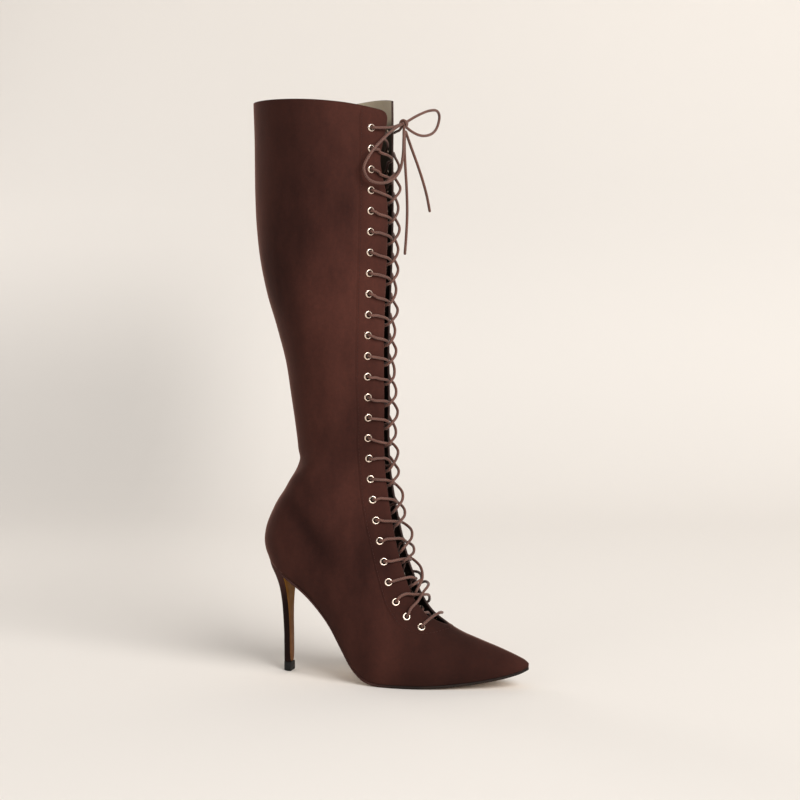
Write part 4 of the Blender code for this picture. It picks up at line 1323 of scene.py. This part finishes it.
# ------------------------------------------------------------------ stitches
def build_stitches():
    """Tone-on-tone stitches along the facing's seam and round the foot of the throat."""
    bm = bmesh.new()
    for side in (LATERAL, MEDIAL):
        line = []
        for at in np.linspace(COLLAR_AT - 0.12, 9.0, 200):
            line.append((at, section(at)["eyelet"] + SEAM_BEHIND - 1.6))
        rows = np.arange(len(SEAM_FOOT["at"]), dtype=float)
        for t in np.linspace(0, rows[-1], 70)[1:]:
            line.append((float(smooth(rows, SEAM_FOOT["at"], t)), float(smooth(rows, SEAM_FOOT["around"], t))))
        points, frames = [], []
        for at, around in line:
            here, normal, _ = wall_frame(at, side * max(around, 0.05))
            lift = fold_depth(here, side) * (float(ease((here[2] - 12) / 40)) if here[2] < 30 else 1.0)
            lift += FACING_STEP * float(ease((at - 7.6) / 1.2))
            points.append(here + normal * lift)
            frames.append(normal)
        points, frames = np.array(points), np.array(frames)
        run = np.concatenate([[0.0], np.cumsum(np.linalg.norm(np.diff(points, axis=0), axis=1))])
        for start in np.arange(1.0, run[-1] - 3.0, 3.1):
            stops = start + np.array((0.0, 0.55, 1.15, 1.75, 2.3))
            rise = np.array((-0.25, 0.10, 0.16, 0.10, -0.25))
            route = [np.array([np.interp(s, run, points[:, c]) for c in range(3)])
                     + np.array([np.interp(s, run, frames[:, c]) for c in range(3)]) * h
                     for s, h in zip(stops, rise)]
            add_tube(bm, np.array(route), 0.20, 6)
    bmesh.ops.recalc_face_normals(bm, faces=bm.faces)
    show("facing_stitches", to_mesh(bm, "facing_stitches"), [THREAD], "suede")


# --------------------------------------------------------------- stage, light
def painted_paper_light(right, back, up):
    """Painted light and shade on the paper, right and back of the object and up the sweep, in metres: a painted shadow
    of the boot to its left and behind, painted shade near the right front and up the sweep, a little painted light far
    right.
    """
    seen = right / (1 + back / 1.3)
    painted_shadow_left = ease((-0.07 - seen) / 0.15) * ease((back - 0.3) / 1.0) * (1 - ease((up - 0.12) / 0.36))
    painted_shade_near_right = ease((seen + 0.05) / 0.4) * ease((0.15 - back) / 0.5)
    painted_light_far_right = ease((seen - 0.02) / 0.2) * ease(back / 0.6)
    high = ease((up - 0.15) / 0.4)
    return 1 - 0.28 * painted_shadow_left - 0.05 * painted_shade_near_right + 0.01 * painted_light_far_right - 0.08 * high


def build_stage():
    made, tree, shader = new_material("studio_floor")
    # the paper's colour times its painted light and shade, from the tone attribute
    tone = tree.nodes.new("ShaderNodeAttribute")
    tone.attribute_name = "tone"
    mix = tree.nodes.new("ShaderNodeMix")
    mix.data_type = "RGBA"
    mix.blend_type = "MULTIPLY"
    mix.inputs["Factor"].default_value = 1.0
    mix.inputs[6].default_value = (0.840, 0.804, 0.764, 1.0)
    tree.links.new(tone.outputs["Fac"], mix.inputs[7])
    tree.links.new(mix.outputs[2], shader.inputs["Base Color"])
    shader.inputs["Roughness"].default_value = 0.9
    shader.inputs["Specular IOR Level"].default_value = 0.1
    bm = bmesh.new()
    layer = bm.verts.layers.float.new("tone")
    rows = []
    profile = [(-3.0, 0.0)] + [(y, 0.0) for y in np.linspace(-2.5, 0.9, 52)]
    profile += [(0.9 + 0.9 * math.sin(t), 0.9 - 0.9 * math.cos(t)) for t in np.linspace(0, math.pi / 2, 20)[1:]]
    profile += [(1.8, 1.2), (1.8, 2.0), (1.8, 3.5)]
    turn = Matrix.Rotation(math.radians(17.5), 4, "Z")
    across = np.concatenate([[-4.0, -2.5], np.linspace(-1.6, 1.6, 65), [2.5, 4.0]])
    for y, z in profile:
        rows.append([])
        for x in across:
            vert = bm.verts.new(turn @ Vector((x, y, z - 0.0002)))
            vert[layer] = float(painted_paper_light(x, y, z))
            rows[-1].append(vert)
    for a, b in zip(rows, rows[1:]):
        for i in range(len(across) - 1):
            bm.faces.new((a[i], a[i + 1], b[i + 1], b[i]))
    mesh = to_mesh(bm, "studio_floor")
    mesh.materials.append(made)
    floor = bpy.data.objects.new("studio_floor", mesh)
    bpy.context.scene.collection.objects.link(floor)


def area_light(name, spot, target, size, power, colour):
    lamp = bpy.data.lights.new(name, "AREA")
    lamp.shape = "DISK"
    lamp.size = size
    lamp.energy = power
    lamp.color = colour
    ob = bpy.data.objects.new(name, lamp)
    ob.location = spot
    ob.rotation_euler = (Vector(target) - Vector(spot)).to_track_quat("-Z", "Y").to_euler()
    bpy.context.scene.collection.objects.link(ob)


def build_light():
    world = bpy.data.worlds.new("studio")
    world.use_nodes = True
    world.node_tree.nodes["Background"].inputs["Color"].default_value = (1.0, 0.985, 0.965, 1.0)
    world.node_tree.nodes["Background"].inputs["Strength"].default_value = 0.37
    bpy.context.scene.world = world
    area_light("key", (2.79, -1.725, 2.13), (0.0, 0.0, 0.24), 2.9, 165.0, (1.0, 0.975, 0.945))
    area_light("fill", (-1.5, -2.0, 1.0), (0.0, 0.0, 0.25), 1.6, 5.5, (1.0, 0.98, 0.97))
    area_light("rim", (-1.7, 0.75, 0.75), (0.0, 0.0, 0.30), 0.6, 5.0, (1.0, 0.97, 0.95))
    bpy.context.scene.view_settings.view_transform = "Standard"
    bpy.context.scene.view_settings.look = "None"


def build_camera():
    lens = bpy.data.cameras.new("camera")
    lens.lens = 71.1
    lens.sensor_width = 36.0
    lens.shift_y = -0.14375
    lens.clip_end = 50.0
    camera = bpy.data.objects.new("camera", lens)
    camera.location = (0.41245, -1.2778, 0.3335)
    camera.rotation_euler = (math.radians(90), 0, math.radians(17.5))
    bpy.context.scene.collection.objects.link(camera)
    bpy.context.scene.camera = camera


build_camera()
build_upper()
build_outsole()
build_insole()
build_heel()
build_eyelets()
build_lace()
build_bow()
build_stitches()
build_stage()
build_light()

bpy.context.view_layer.update()
